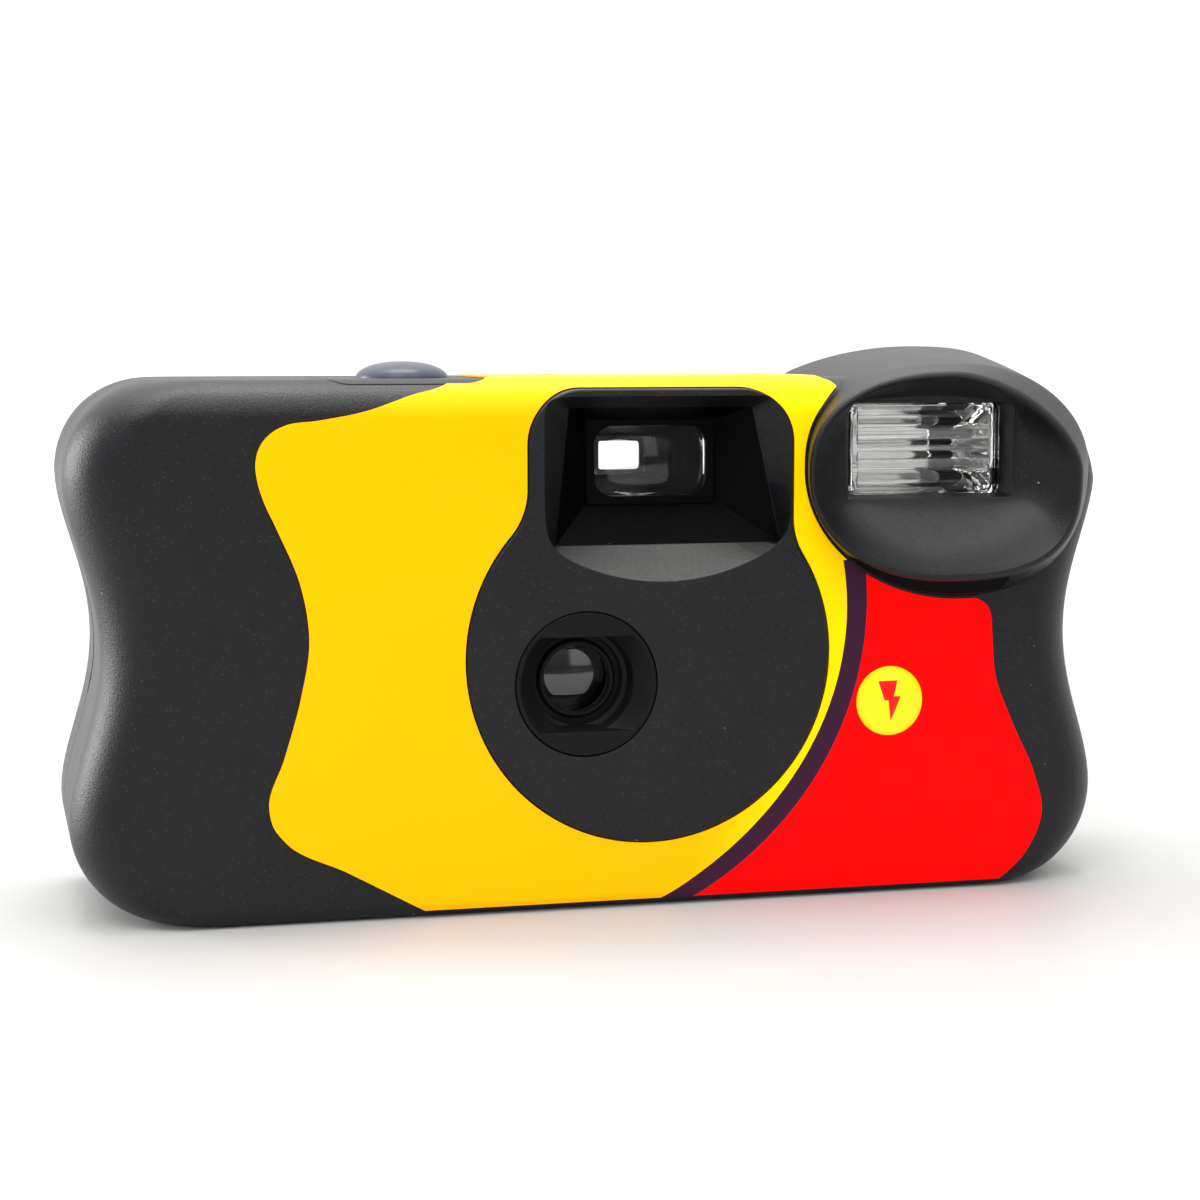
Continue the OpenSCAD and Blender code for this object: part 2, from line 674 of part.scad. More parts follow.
// Chassis: light box, gate, both film chambers, deck, battery tray and the posts of the levers
module main_frame() color([0.1, 0.1, 0.11]) difference() {
  plate_left = cart_x + sqrt(pow(chamber_r + 0.5, 2) - pow(cart_y - plate_back, 2));
  web_y = cart_y + 5.8;
  cut_y = cart_y + 7;
  gate_left = cart_x + chamber_out;
  gate_right = supply_x - 9;
  tray_wall = 1;
  tray_top = cell_z + cell_r - 2;
  union() {
    light_box(0);
    box([plate_left, plate_front, lens_z - 7.2], [lens_x + 17, plate_back, deck_top]);
    box([gate_left, gate_front, wall + seat], [gate_right, gate_back, deck_top]);
    difference() {
      pin_z(cart_x, cart_y, chamber_out, cart_foot, lid_foot + 0.1);
      box([cart_x - 20, cut_y, 0], [cart_x + 20, cut_y + 20, lid_foot]);
    }
    difference() {
      pin_z(cart_x, cart_y, chamber_out, lid_foot, lid_top);
      box([cart_x - 20, inside_back - pass, 0], [cart_x + 20, back_y, body_h]);
    }
    box([cart_x + 12, web_y, 6], [gate_left + 0.95, cut_y, deck_top]);
    box([gate_left, web_y, 6], [gate_left + 0.95, gate_front + 0.5, deck_top]);
    difference() {
      pin_z(supply_x, supply_y, supply_out, supply_foot, deck_top);
      box([supply_x - 20, gate_front - 0.5, 0], [supply_x + 20, back_y, body_h]);
    }
    box([gate_right - 2.8, supply_y + 2, supply_foot], [gate_right - 0.3, gate_front + 0.3, deck_top]);
    box([gate_left - chamber_t / 2, plate_front, deck_foot],
        [finder_x - finder_w / 2 - finder_wall - 1.2, gate_front + 0.5, deck_top]);
    box([lens_x + 16, plate_front - 2.4, deck_foot], [window_x + 9.5, plate_back, deck_top]);
    box([window_x - 9.5, window_back + 0.6, deck_foot], [window_x + 9.5, plate_back, deck_top]);
    box([window_x - 8, window_back + 0.6, deck_top - 0.1],
        [window_x + 8, window_back + 3.6, window_z - reflector_half - 0.55]);
    box([cell_left - 0.55 - tray_wall, door_front, wall + seat],
        [cell_left - 0.55, tray_back + 1, tray_top]);
    box([cell_right + 0.5, door_front, wall + seat],
        [cell_right + 0.5 + tray_wall, tray_back + 1, tray_top]);
    box([cell_left - 1.5, tray_back, hinge_z + 1.2], [cell_right + 1.5, tray_back + 1, lens_z - 8.2]);
    box([cell_right + 0.5, tray_back, supply_foot], [supply_x - 7, tray_back + 1, lens_z - 8.2]);
    pin_z(sprocket_x, sprocket_y, 2.6, lens_z + 8, sprocket_foot - pass);
    pin_z(post_x, post_y, post_r, deck_top - 0.1, cam_foot + 2);
    pin_z(post_x, post_y, spindle_r, deck_top, counter_foot + counter_t + 0.1);
    pin_z(release_x, release_y, pivot_r, deck_top - 0.1, cam_foot + 1.8);
    pin_z(pawl_x, pawl_y, pivot_r, lid_top - 0.1, wheel_foot - 0.15);
    pin_y(lens_x + blade_dx, lens_z + blade_dz, pivot_r, plate_front - 1.4, plate_front + 0.2);
    for (p = pegs) pin_y(lens_x + p[0], lens_z + p[1], peg_r, flange_front - 0.4, plate_front + 0.2);
    for (z = [board_foot + 7, board_top - 6])
      pin_y(stand_x, z, 1.6, board_back + seat, supply_y - sqrt(pow(supply_r + 0.5, 2) - 16));
    pin_z(lamp_x, lamp_y, lamp_r + 0.6, deck_top - 0.1, deck_top + 2.4);
  }
  light_box(1.2);
  upright(gate_front - 1, gate_back + 1) translate([lens_x, lens_z]) square([gate_w, gate_h], center = true);
  pin_y(lens_x, lens_z, iris_r, plate_front - 1, plate_back + 1);
  pin_z(cart_x, cart_y, chamber_r, cart_foot - 5, lid_foot);
  pin_z(cart_x, cart_y, 5.2, lid_foot - 1, lid_top + 1);
  pin_z(supply_x, supply_y, supply_r, supply_foot + 1, deck_foot);
  pin_z(supply_x, supply_y, journal_r + running, supply_foot - 1, deck_top + 1);
  pin_z(sprocket_x, sprocket_y, shaft_r + running, deck_foot - 1, deck_top + 1);
  pin_z(sprocket_x, sprocket_y, pivot_r + running, sprocket_foot - 2.4, sprocket_foot + 1);
  box([sprocket_x - 7, gate_front - 1, sprocket_foot - pass],
      [sprocket_x + 7, gate_back + 1, sprocket_foot + sprocket_t + pass]);
  pin_z(lamp_x, lamp_y, lamp_r + 0.1, deck_top, deck_top + 4);
  box([cart_x - 20, inside_back - pass, 0], [cart_x + 20, back_y, body_h]);
  pin_x(hinge_y, hinge_z, knuckle_r + 0.25, door_left - 3, door_right + 3);
}

// Flat lever arm with a round end, lying level
module arm(x, y, z, length, angle, w, t) {
  translate([x, y, z]) rotate([0, 0, angle]) {
    translate([0, -w / 2, 0]) cube([length, w, t]);
    translate([length, 0, 0]) cylinder(r = w / 2, h = t);
  }
}

// Domed release button with a flange under the top and a stem over the release lever
module shutter_button() color([0.33, 0.36, 0.43]) {
  foot = cam_foot + lever_t + button_travel + pass;
  flange_top = inside_top - 0.1;
  side_top = body_h - 0.1;
  translate([button_x, button_y, 0]) rotate_extrude($fn = 64) polygon(concat(
    [[0, foot], [stem_r, foot], [stem_r, flange_top - button_flange_t],
     [button_flange_r, flange_top - button_flange_t], [button_flange_r, flange_top],
     [button_r, flange_top]],
    [for (a = [0:10:90]) [button_r * cos(a), side_top + (button_rise + 0.1) * sin(a)]]));
}

// Domed charging button through the front face, held by a flange behind it
module flash_button() color([1, 0.81, 0]) {
  flange_front_z = -wall - 0.05;
  translate([flash_button_x, front_y, flash_button_z]) rotate([90, 0, 0]) rotate_extrude($fn = 64)
    polygon(concat(
      [[0, flange_front_z - 0.4], [flash_button_r + 0.7, flange_front_z - 0.4],
       [flash_button_r + 0.7, flange_front_z], [flash_button_r, flange_front_z], [flash_button_r, 0.2]],
      [for (a = [15:15:90]) [flash_button_r * cos(a), 0.2 + 0.35 * sin(a)]]));
}

// Ridged wheel with a ratchet under it and a drive pin into the cartridge's spool
module thumbwheel() color([0.14, 0.14, 0.15]) {
  teeth = 24;
  pin_r = 2.5;
  translate([cart_x, cart_y, 0]) {
    translate([0, 0, wheel_foot]) linear_extrude(wheel_t)
      polygon([for (k = [0:2 * wheel_ridges - 1]) let (a = 90 + 180 * k / wheel_ridges)
        (k % 2 == 0 ? wheel_r : wheel_r - 0.55) * [cos(a), sin(a)]]);
    translate([0, 0, ratchet_foot]) linear_extrude(wheel_foot - ratchet_foot)
      polygon([for (k = [0:teeth - 1]) let (a = 360 * k / teeth)
        each [ratchet_r * [cos(a), sin(a)], (ratchet_r - 1) * [cos(a + 2), sin(a + 2)]]]);
    pin_z(0, 0, 4, lid_top + seat, wheel_foot);
    pin_z(0, 0, pin_r, lid_top - 3.4, wheel_foot);
  }
}

// Turned retainer with a flat-sided pocket in front of the lens
module lens_retainer() color([0.13, 0.13, 0.14]) difference() {
  union() {
    pin_y(lens_x, lens_z, retainer_r, retainer_face, inside_front);
    pin_y(lens_x, lens_z, pocket_r + 1.2, inside_front - 0.1, pocket_floor + 0.8);
  }
  intersection() {
    pin_y(lens_x, lens_z, pocket_r, retainer_face - 1, pocket_floor);
    upright(retainer_face - 1, pocket_floor) translate([lens_x, lens_z])
      square([4 * pocket_r, pocket_flats], center = true);
  }
  pin_y(lens_x, lens_z, lens_r - 0.7, retainer_face, pocket_floor + 2);
}

// Plate with a cup for the two lens elements, on the chassis' pegs
module lens_holder() color([0.12, 0.12, 0.13]) difference() {
  union() {
    box([lens_x - flange_w / 2, flange_front, lens_z - flange_h / 2],
        [lens_x + flange_w / 2, flange_front + flange_t, lens_z + flange_h / 2]);
    pin_y(lens_x, lens_z, lens_r + 1.1, holder_front, flange_front + 0.1);
  }
  pin_y(lens_x, lens_z, lens_r + 0.06, holder_front - 1, flange_front);
  pin_y(lens_x, lens_z, iris_r, flange_front - 1, flange_front + 2);
  for (p = pegs) pin_y(lens_x + p[0], lens_z + p[1], peg_r + 0.04, flange_front - 1, flange_front + 2);
}

// Round lens element with one domed face; bulge is its dome's radius
module element(y, bulge) {
  intersection() {
    pin_y(lens_x, lens_z, lens_r, y, y + element_t);
    translate([lens_x, y + bulge, lens_z]) sphere(r = bulge, $fn = 240);
  }
}

module front_lens() color([0.75, 0.8, 0.85, 0.5]) element(lens_front, 12);

module aperture_ring() color([0.05, 0.05, 0.05]) difference() {
  stop_y = lens_front + element_t + seat;
  pin_y(lens_x, lens_z, lens_r, stop_y, stop_y + stop_t);
  pin_y(lens_x, lens_z, 1.3, stop_y - 1, stop_y + 1);
}

module rear_lens() color([0.75, 0.8, 0.85, 0.5])
  element(lens_front + element_t + stop_t + 2 * seat, 20);

// Thin blade that hangs from its pivot, covers the lens and has a tail for the striker
module shutter_blade() color([0.2, 0.2, 0.22]) difference() {
  reach = norm([blade_dx, blade_dz]);
  tilt = atan2(-blade_dx, blade_dz);
  translate([lens_x + blade_dx, blade_y - blade_t / 2, lens_z + blade_dz]) rotate([0, -tilt, 0]) {
    box([-1.5, 0, -reach], [1.5, blade_t, 0]);
    box([-0.8, 0, 0], [0.8, blade_t, 6.9]);
    pin_y(0, 0, 2.2, 0, blade_t);
    pin_y(0, -reach, blade_disc, 0, blade_t);
  }
  pin_y(lens_x + blade_dx, lens_z + blade_dz, pivot_r + running, blade_y - 1, blade_y + 1);
}

// Two-armed lever: one arm follows the cam, the other strikes the blade's tail
module striker_lever() color([0.85, 0.84, 0.8]) difference() {
  follow = atan2(sprocket_y - post_y, sprocket_x - post_x);
  union() {
    pin_z(post_x, post_y, post_r + 1, cam_foot, cam_foot + lever_t);
    arm(post_x, post_y, cam_foot, axis_gap - cam_r - pass - arm_w / 2, follow, arm_w, lever_t);
    arm(post_x, post_y, cam_foot, 10.4, -126.4, arm_w, lever_t);
  }
  pin_z(post_x, post_y, post_r + running, cam_foot - 1, cam_foot + 4);
}

// Lever under the button's stem that lets the cam go
module release_lever() color([0.85, 0.84, 0.8]) difference() {
  gap = norm([sprocket_x - release_x, sprocket_y - release_y]);
  union() {
    pin_z(release_x, release_y, pivot_r + 1, cam_foot, cam_foot + lever_t);
    arm(release_x, release_y, cam_foot, gap - cam_r - pass - arm_w / 2,
        atan2(sprocket_y - release_y, sprocket_x - release_x), arm_w, lever_t);
  }
  pin_z(release_x, release_y, pivot_r + running, cam_foot - 1, cam_foot + 4);
}

// Pawl that stops the winding wheel from turning back
module ratchet_pawl() color([0.85, 0.84, 0.8]) difference() {
  tip = (ratchet_r + 1) * [cos(pawl_tip_a), sin(pawl_tip_a)];
  root = pawl_r * [cos(pawl_root_a), sin(pawl_root_a)];
  union() {
    pin_z(pawl_x, pawl_y, pivot_r + 0.5, lid_top + 0.1, wheel_foot - 0.2);
    arm(pawl_x, pawl_y, lid_top + 0.1, norm(tip - root),
        atan2(tip[1] - root[1], tip[0] - root[0]), 1, wheel_foot - lid_top - 0.3);
  }
  pin_z(pawl_x, pawl_y, pivot_r + running, lid_top - 1, wheel_foot + 1);
}

// Wire coil about a line along Z: points on the wire's path
function coil_path(r, pitch, turns, steps) =
  [for (k = [0:turns * steps]) let (a = 360 * k / steps) [r * cos(a), r * sin(a), pitch * k / steps]];

// Six-sided wire along a coil
module coil(r, wire, pitch, turns) {
  steps = 14;
  path = coil_path(r, pitch, turns, steps);
  loft([for (k = [0:len(path) - 1]) let (a = 360 * k / steps)
    [for (b = [0:60:300])
      path[k] + wire * [cos(b) * cos(a), cos(b) * sin(a), sin(b)]]]);
}

module striker_spring() color([0.7, 0.71, 0.73])
  translate([post_x, post_y, cam_foot + 2.3]) coil(spindle_r + 0.6, spring_wire, 0.6, 4);

module release_spring() color([0.7, 0.71, 0.73])
  translate([release_x, release_y, deck_top + 0.2]) coil(pivot_r + 0.5, 0.15, 0.3, 1);

module blade_spring() color([0.7, 0.71, 0.73])
  translate([lens_x - 18, blade_y - 1.2, lens_z + 9]) rotate([0, 90, 0]) coil(0.8, 0.15, 0.5, 8);

// Toothed wheel that the film turns, with its shaft
module sprocket() color([0.85, 0.84, 0.8]) {
  teeth = 8;
  hub_r = sprocket_r - 1.1;
  translate([sprocket_x, sprocket_y, 0]) {
    pin_z(0, 0, hub_r, sprocket_foot, sprocket_foot + sprocket_t);
    for (k = [0:teeth - 1]) rotate([0, 0, 360 * k / teeth])
      box([hub_r - 1, -0.6, sprocket_foot + 0.3], [sprocket_r - 0.05, 0.6, sprocket_foot + sprocket_t - 0.3]);
    pin_z(0, 0, pivot_r, sprocket_foot - 2.2, sprocket_foot + 0.1);
    pin_z(0, 0, shaft_r, sprocket_foot + sprocket_t - 0.1, cam_foot + cam_t);
  }
}

// Cam on the sprocket's shaft, with the finger that steps the counter
module metering_cam() color([0.8, 0.25, 0.2]) difference() {
  translate([sprocket_x, sprocket_y, 0]) union() {
    pin_z(0, 0, cam_r - 1, cam_foot, cam_foot + cam_t + 1);
    pin_z(1.2, 0, cam_r - 1.2, cam_foot, cam_foot + cam_t);
    pin_z(0, 0, spindle_r, cam_foot + cam_t, counter_foot + counter_t);
    box([0, -0.5, counter_foot], [finger_r - 0.1, 0.5, counter_foot + counter_t]);
  }
  pin_z(sprocket_x, sprocket_y, shaft_r + running, cam_foot - 1, cam_foot + cam_t + seat);
}

// Toothed counter disc under its window
module counter_wheel() color([0.92, 0.91, 0.88]) difference() {
  teeth = 28;
  translate([post_x, post_y, counter_foot]) linear_extrude(counter_t)
    polygon([for (k = [0:2 * teeth - 1]) let (a = 180 * k / teeth)
      (k % 2 == 0 ? counter_r : counter_r - 0.7) * [cos(a), sin(a)]]);
  pin_z(post_x, post_y, spindle_r + running, counter_foot - 1, counter_foot + 2);
}

// Clear pane over the counter wheel
module counter_window() color([0.8, 0.85, 0.9, 0.5])
  translate([post_x + 4.4, post_y, inside_top + 0.05]) linear_extrude(wall - 0.15) pane(4.2, 3.4, 0.8);

// Rolled metal shell of the film cartridge with the lips that the film leaves by
module cartridge_shell() color([0.72, 0.72, 0.74]) difference() {
  shell_r = cartridge_r - 0.15;
  lip_end = cart_x + cartridge_r + 0.9;
  z0 = cart_foot + 0.65;
  z1 = cart_top - 0.65;
  union() {
    pin_z(cart_x, cart_y, shell_r, z0, z1);
    box([cart_x + 1, film_y - 0.6, z0], [lip_end, film_y + 0.5, z1]);
  }
  pin_z(cart_x, cart_y, shell_r - 0.4, z0 - 1, z1 + 1);
  box([cart_x + 1, film_y - film_t / 2 - 0.1, film_foot - 0.2],
      [lip_end + 1, film_y + film_t / 2 + 0.1, film_top + 0.2]);
}

module cartridge_caps() color([0.5, 0.5, 0.52]) difference() {
  union() {
    pin_z(cart_x, cart_y, cartridge_r, cart_foot, cart_foot + 0.6);
    pin_z(cart_x, cart_y, cartridge_r, cart_top - 0.6, cart_top);
  }
  pin_z(cart_x, cart_y, 4.7, cart_foot - 1, cart_top + 1);
}

// Spool inside the cartridge, driven by the winding wheel's pin
module cartridge_spool() color([0.1, 0.1, 0.11]) difference() {
  union() {
    pin_z(cart_x, cart_y, 5.4, cart_foot + 0.9, cart_top - 0.9);
    pin_z(cart_x, cart_y, 4.4, cart_foot - 0.6, lid_top);
  }
  pin_z(cart_x, cart_y, 2.5 + running, lid_top - 3.6, lid_top + 1);
}

// Film from the unexposed roll across the gate into the cartridge, with its two rows of holes
module film_strip() color([0.35, 0.28, 0.24]) difference() {
  pitch = 4.75;
  first = cart_x + 16;
  box([cart_x + 2, film_y - film_t / 2, film_foot], [supply_x, film_y + film_t / 2, film_top]);
  for (k = [0:floor((supply_x - first - 2) / pitch)], z = [film_foot + 3.4, film_top - 3.4])
    box([first + k * pitch - 1, film_y - 1, z - 1.4], [first + k * pitch + 1, film_y + 1, z + 1.4]);
}

module film_roll() color([0.3, 0.24, 0.21]) difference() {
  pin_z(supply_x, supply_y, roll_r, film_foot, film_top);
  pin_z(supply_x, supply_y, core_r + running, film_foot - 1, film_top + 1);
}

module supply_spool() color([0.1, 0.1, 0.11]) {
  pin_z(supply_x, supply_y, core_r, supply_foot + 1.1, deck_foot - 0.1);
  pin_z(supply_x, supply_y, journal_r, supply_foot + 0.1, deck_top - 0.1);
}

// Tube of the viewfinder, open in front and with the eyepiece opening at its rear
module finder_housing() color([0.09, 0.09, 0.1]) difference() {
  half = finder_w / 2 + finder_wall;
  z0 = deck_top + seat;
  box([finder_x - half, finder_front, z0],
      [finder_x + half, finder_back, z0 + finder_h + 2 * finder_wall]);
  box([finder_x - finder_w / 2, finder_front - 1, z0 + finder_wall],
      [finder_x + finder_w / 2, finder_back - 1, z0 + finder_wall + finder_h]);
  box([finder_x - eyepiece_w / 2, finder_back - 2, finder_z - eyepiece_h / 2],
      [finder_x + eyepiece_w / 2, finder_back + 1, finder_z + eyepiece_h / 2]);
}

// Hollow-ground front lens of the viewfinder
module finder_front_lens() color([0.8, 0.85, 0.9, 0.5]) difference() {
  hollow_r = 14.7;
  centre_t = 0.8;
  lens_y = finder_front + 0.3;
  box([finder_x - finder_w / 2 + seat, lens_y, finder_z - finder_h / 2 + seat],
      [finder_x + finder_w / 2 - seat, lens_y + 2.4, finder_z + finder_h / 2 - seat]);
  translate([finder_x, lens_y + centre_t + hollow_r, finder_z]) sphere(r = hollow_r, $fn = 240);
}

// Domed eyepiece lens inside the rear of the viewfinder
module finder_eyepiece() color([0.8, 0.85, 0.9, 0.5]) intersection() {
  dome_r = 18;
  y1 = finder_back - 1 - seat;
  box([finder_x - eyepiece_w / 2 - 1, y1 - 1.6, finder_z - eyepiece_h / 2 - 1],
      [finder_x + eyepiece_w / 2 + 1, y1, finder_z + eyepiece_h / 2 + 1]);
  translate([finder_x, y1 - 1.6 + dome_r, finder_z]) sphere(r = dome_r, $fn = 240);
}

// Clear window of the flash, held by a flange behind the dish's collar
module flash_window() color([0.85, 0.88, 0.9, 0.5]) {
  upright(window_front, collar_back + 0.2) translate([window_x, window_z]) pane(window_w, window_h, 1);
  upright(collar_back + seat, window_back) translate([window_x, window_z])
    pane(window_w + 1.8, window_h + 1.8, 1);
}

// Points of the reflector's bowl in Y and Z, drawn out by o
function bowl(o) = [for (k = [-8:8]) let (t = k / 8)
  [reflector_front + (reflector_depth + o) * (1 - t * t), window_z + (reflector_half + o) * t]];

// Bright trough behind the flash window, closed at both ends
module flash_reflector() color([0.86, 0.87, 0.88]) {
  half = window_w / 2 - 0.3;
  sheet = 0.4;
  back = [for (k = [16:-1:0]) bowl(sheet)[k]];
  translate([window_x - half, 0, 0]) rotate([90, 0, 90]) linear_extrude(2 * half)
    polygon(concat(bowl(0), back));
  for (x = [window_x - half, window_x + half - sheet]) difference() {
    translate([x, 0, 0]) rotate([90, 0, 90]) linear_extrude(sheet) polygon(bowl(0.1));
    pin_x(tube_y, window_z, 1.8, x - 1, x + 2);
  }
}

// Glass discharge tube with a metal cap at each end
module flash_tube() color([0.9, 0.92, 0.95, 0.6]) {
  half = window_w / 2 + 2.4;
  pin_x(tube_y, window_z, 1.5, window_x - half, window_x + half);
  pin_x(tube_y, window_z, 0.5, window_x - half - 1.2, window_x + half + 1.2);
}

module circuit_board() color([0.55, 0.45, 0.25])
  box([board_left, board_front, board_foot], [board_right, board_back, board_top]);

// Resistors and a transistor on the rear of the board
module board_components() color([0.75, 0.68, 0.5]) {
  y = board_back + seat;
  for (z = [lens_z + 4, lens_z + 8]) {
    pin_x(y + 1.1, z, 1.1, board_left + 2.5, board_left + 8.5);
    pin_x(y + 1.1, z, 0.3, board_left + 1, board_left + 10);
  }
  box([board_left + 3, y, lens_z + 11.5], [board_left + 7.5, y + 3.4, lens_z + 15.5]);
}

module capacitor() color([0.12, 0.14, 0.2]) {
  pin_z(cap_x, cap_y, cap_r, board_foot, board_foot + 31);
  pin_z(cap_x, cap_y, cap_r - 0.6, board_foot + 30, board_foot + 31.4);
}

module transformer() color([0.8, 0.65, 0.2]) {
  y = board_back + seat;
  box([board_left + 1, y, board_foot + 0.5], [board_left + 8, y + 5, board_foot + 2]);
  box([board_left + 2, y, board_foot + 1.9], [board_left + 7, y + 4.6, board_foot + 7.1]);
  box([board_left + 1, y, board_foot + 7], [board_left + 8, y + 5, board_foot + 8.5]);
}

module trigger_coil() color([0.85, 0.6, 0.3])
  pin_z(board_left + 4, board_back + seat + 2.6, 2.5, board_foot + 11, board_foot + 20);

// Small glow lamp under the ready light's hole
module ready_lamp() color([0.95, 0.6, 0.35]) {
  z1 = inside_top - lamp_r - pass;
  pin_z(lamp_x, lamp_y, lamp_r, deck_top + seat, z1);
  translate([lamp_x, lamp_y, z1]) sphere(r = lamp_r - 0.01);
}

// Spring leaf behind the charging button, fixed to the board at one end
module flash_switch() color([0.75, 0.62, 0.35]) {
  leaf_y = board_front - 0.75;
  box([flash_button_x - 3, leaf_y, flash_button_z - 1.6],
      [flash_button_x + 8, leaf_y + 0.25, flash_button_z + 1.6]);
  box([flash_button_x + 5.5, leaf_y + 0.1, flash_button_z - 1.2],
      [flash_button_x + 8, board_front - seat, flash_button_z + 1.2]);
}

// Pair of leaves that the open blade closes
module sync_contact() color([0.75, 0.62, 0.35]) {
  x = lens_x - 13.2;
  for (d = [0, 0.9])
    box([x - d - 0.25, plate_front - 1.6, lens_z - 4], [x - d, plate_front - seat, lens_z + 2]);
}

// Round cell with its raised terminal to the right
module battery() color([0.2, 0.2, 0.22]) {
  pin_x(cell_y, cell_z, cell_r, cell_left, cell_right - 1.2);
  pin_x(cell_y, cell_z, 2.7, cell_right - 1.3, cell_right);
}

module contact_plus() color([0.78, 0.78, 0.8])
  box([cell_right + seat, cell_y - 4, cell_z - 6], [cell_right + seat + contact_t, cell_y + 4, cell_z + 8]);

module contact_minus() color([0.78, 0.78, 0.8])
  box([cell_left - seat - contact_t, cell_y - 4, cell_z - 6], [cell_left - seat, cell_y + 4, cell_z + 8]);

front_cover();
back_cover();
front_label();
back_label();
battery_door();
main_frame();
shutter_button();
flash_button();
thumbwheel();
lens_retainer();
lens_holder();
front_lens();
aperture_ring();
rear_lens();
shutter_blade();
blade_spring();
striker_lever();
striker_spring();
release_lever();
release_spring();
sprocket();
metering_cam();
counter_wheel();
counter_window();
ratchet_pawl();
cartridge_shell();
cartridge_caps();
cartridge_spool();
film_strip();
film_roll();
supply_spool();
finder_housing();
finder_front_lens();
finder_eyepiece();
flash_window();
flash_reflector();
flash_tube();
circuit_board();
board_components();
capacitor();
transformer();
trigger_coil();
ready_lamp();
flash_switch();
sync_contact();
battery();
contact_plus();
contact_minus();
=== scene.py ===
import math

import bmesh
import bpy
import numpy as np
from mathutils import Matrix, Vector


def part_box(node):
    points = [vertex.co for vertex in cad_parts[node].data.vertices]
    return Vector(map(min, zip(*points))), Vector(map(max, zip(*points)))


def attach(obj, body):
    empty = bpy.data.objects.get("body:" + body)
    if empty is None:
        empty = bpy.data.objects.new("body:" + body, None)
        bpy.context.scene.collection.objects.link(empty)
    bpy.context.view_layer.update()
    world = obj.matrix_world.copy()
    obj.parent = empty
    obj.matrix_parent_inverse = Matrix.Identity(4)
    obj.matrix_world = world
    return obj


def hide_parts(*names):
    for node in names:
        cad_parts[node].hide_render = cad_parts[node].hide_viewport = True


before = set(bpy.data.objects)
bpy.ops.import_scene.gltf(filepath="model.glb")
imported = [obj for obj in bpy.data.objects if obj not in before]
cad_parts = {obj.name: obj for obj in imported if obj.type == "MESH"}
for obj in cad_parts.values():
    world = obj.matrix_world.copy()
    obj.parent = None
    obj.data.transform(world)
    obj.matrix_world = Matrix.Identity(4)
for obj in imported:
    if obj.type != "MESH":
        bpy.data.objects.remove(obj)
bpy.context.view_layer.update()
mm = 0.001

# Camera
# A long lens a little left of the front and slightly above the top, at the photograph's angle.
# The picture is square, so the sensor is too.
view_azimuth, view_elevation = math.radians(-14.16), math.radians(6.02)
view_aim = Vector((-1.91, -14.5, 34.40)) * mm
view_distance = 273.23 * mm
picture_px, focal_px = 1200, 2500

camera = bpy.data.objects.new("camera", bpy.data.cameras.new("camera"))
bpy.context.collection.objects.link(camera)
camera.data.sensor_width = camera.data.sensor_height = 36
camera.data.lens = camera.data.sensor_width * focal_px / picture_px
camera.data.clip_start, camera.data.clip_end = 0.01, 30
towards_eye = Vector((math.sin(view_azimuth) * math.cos(view_elevation),
                      -math.cos(view_azimuth) * math.cos(view_elevation), math.sin(view_elevation)))
camera.location = view_aim + view_distance * towards_eye
camera.rotation_euler = towards_eye.to_track_quat("Z", "Y").to_euler()
bpy.context.scene.camera = camera
bpy.context.scene.view_settings.view_transform = "Standard"


# Studio
# A white table under broad soft boxes, with a white room behind the object and a dimmer one in front.
class Shade:
    """A value in a node tree. Arithmetic on it adds Math nodes, and a plain number fits on either side."""

    def __init__(self, tree, socket):
        self.tree, self.socket = tree, socket

    def math(self, operation, *terms):
        made = self.tree.nodes.new("ShaderNodeMath")
        made.operation = operation
        for socket, term in zip(made.inputs, terms):
            if isinstance(term, Shade):
                self.tree.links.new(term.socket, socket)
            else:
                socket.default_value = term
        return Shade(self.tree, made.outputs[0])

    def __add__(self, other):
        return self.math("ADD", self, other)

    def __sub__(self, other):
        return self.math("SUBTRACT", self, other)

    def __rsub__(self, other):
        return self.math("SUBTRACT", other, self)

    def __mul__(self, other):
        return self.math("MULTIPLY", self, other)

    def __truediv__(self, other):
        return self.math("DIVIDE", self, other)

    def __pow__(self, other):
        return self.math("POWER", self, other)

    def __gt__(self, other):
        return self.math("GREATER_THAN", self, other)

    def __lt__(self, other):
        return self.math("LESS_THAN", self, other)

    __radd__, __rmul__ = __add__, __mul__


class Nodes:
    """A node tree that grows by one method."""

    def __init__(self, tree):
        self.tree = tree

    def add(self, kind, settings={}, sockets={}, output=0):
        """Adds a node: its settings first, then each socket's value or link. Gives one of its outputs."""
        made = self.tree.nodes.new("ShaderNode" + kind)
        for key, value in settings.items():
            if key == "stops":
                ramp = made.color_ramp
                ramp.elements[0].position, ramp.elements[0].color = value[0]
                ramp.elements[1].position, ramp.elements[1].color = value[-1]
                for place, colour in value[1:-1]:
                    ramp.elements.new(place).color = colour
            else:
                setattr(made, key, value)
        for key, value in sockets.items():
            if isinstance(value, Shade):
                self.tree.links.new(value.socket, made.inputs[key])
            else:
                made.inputs[key].default_value = value
        return Shade(self.tree, made.outputs[output])

    def fade(self, value, start, end):
        """Soft step from nought at start to one at end."""
        return self.add("MapRange", {"interpolation_type": "SMOOTHSTEP"},
                        {"Value": value, "From Min": start, "From Max": end, "To Min": 0.0, "To Max": 1.0})


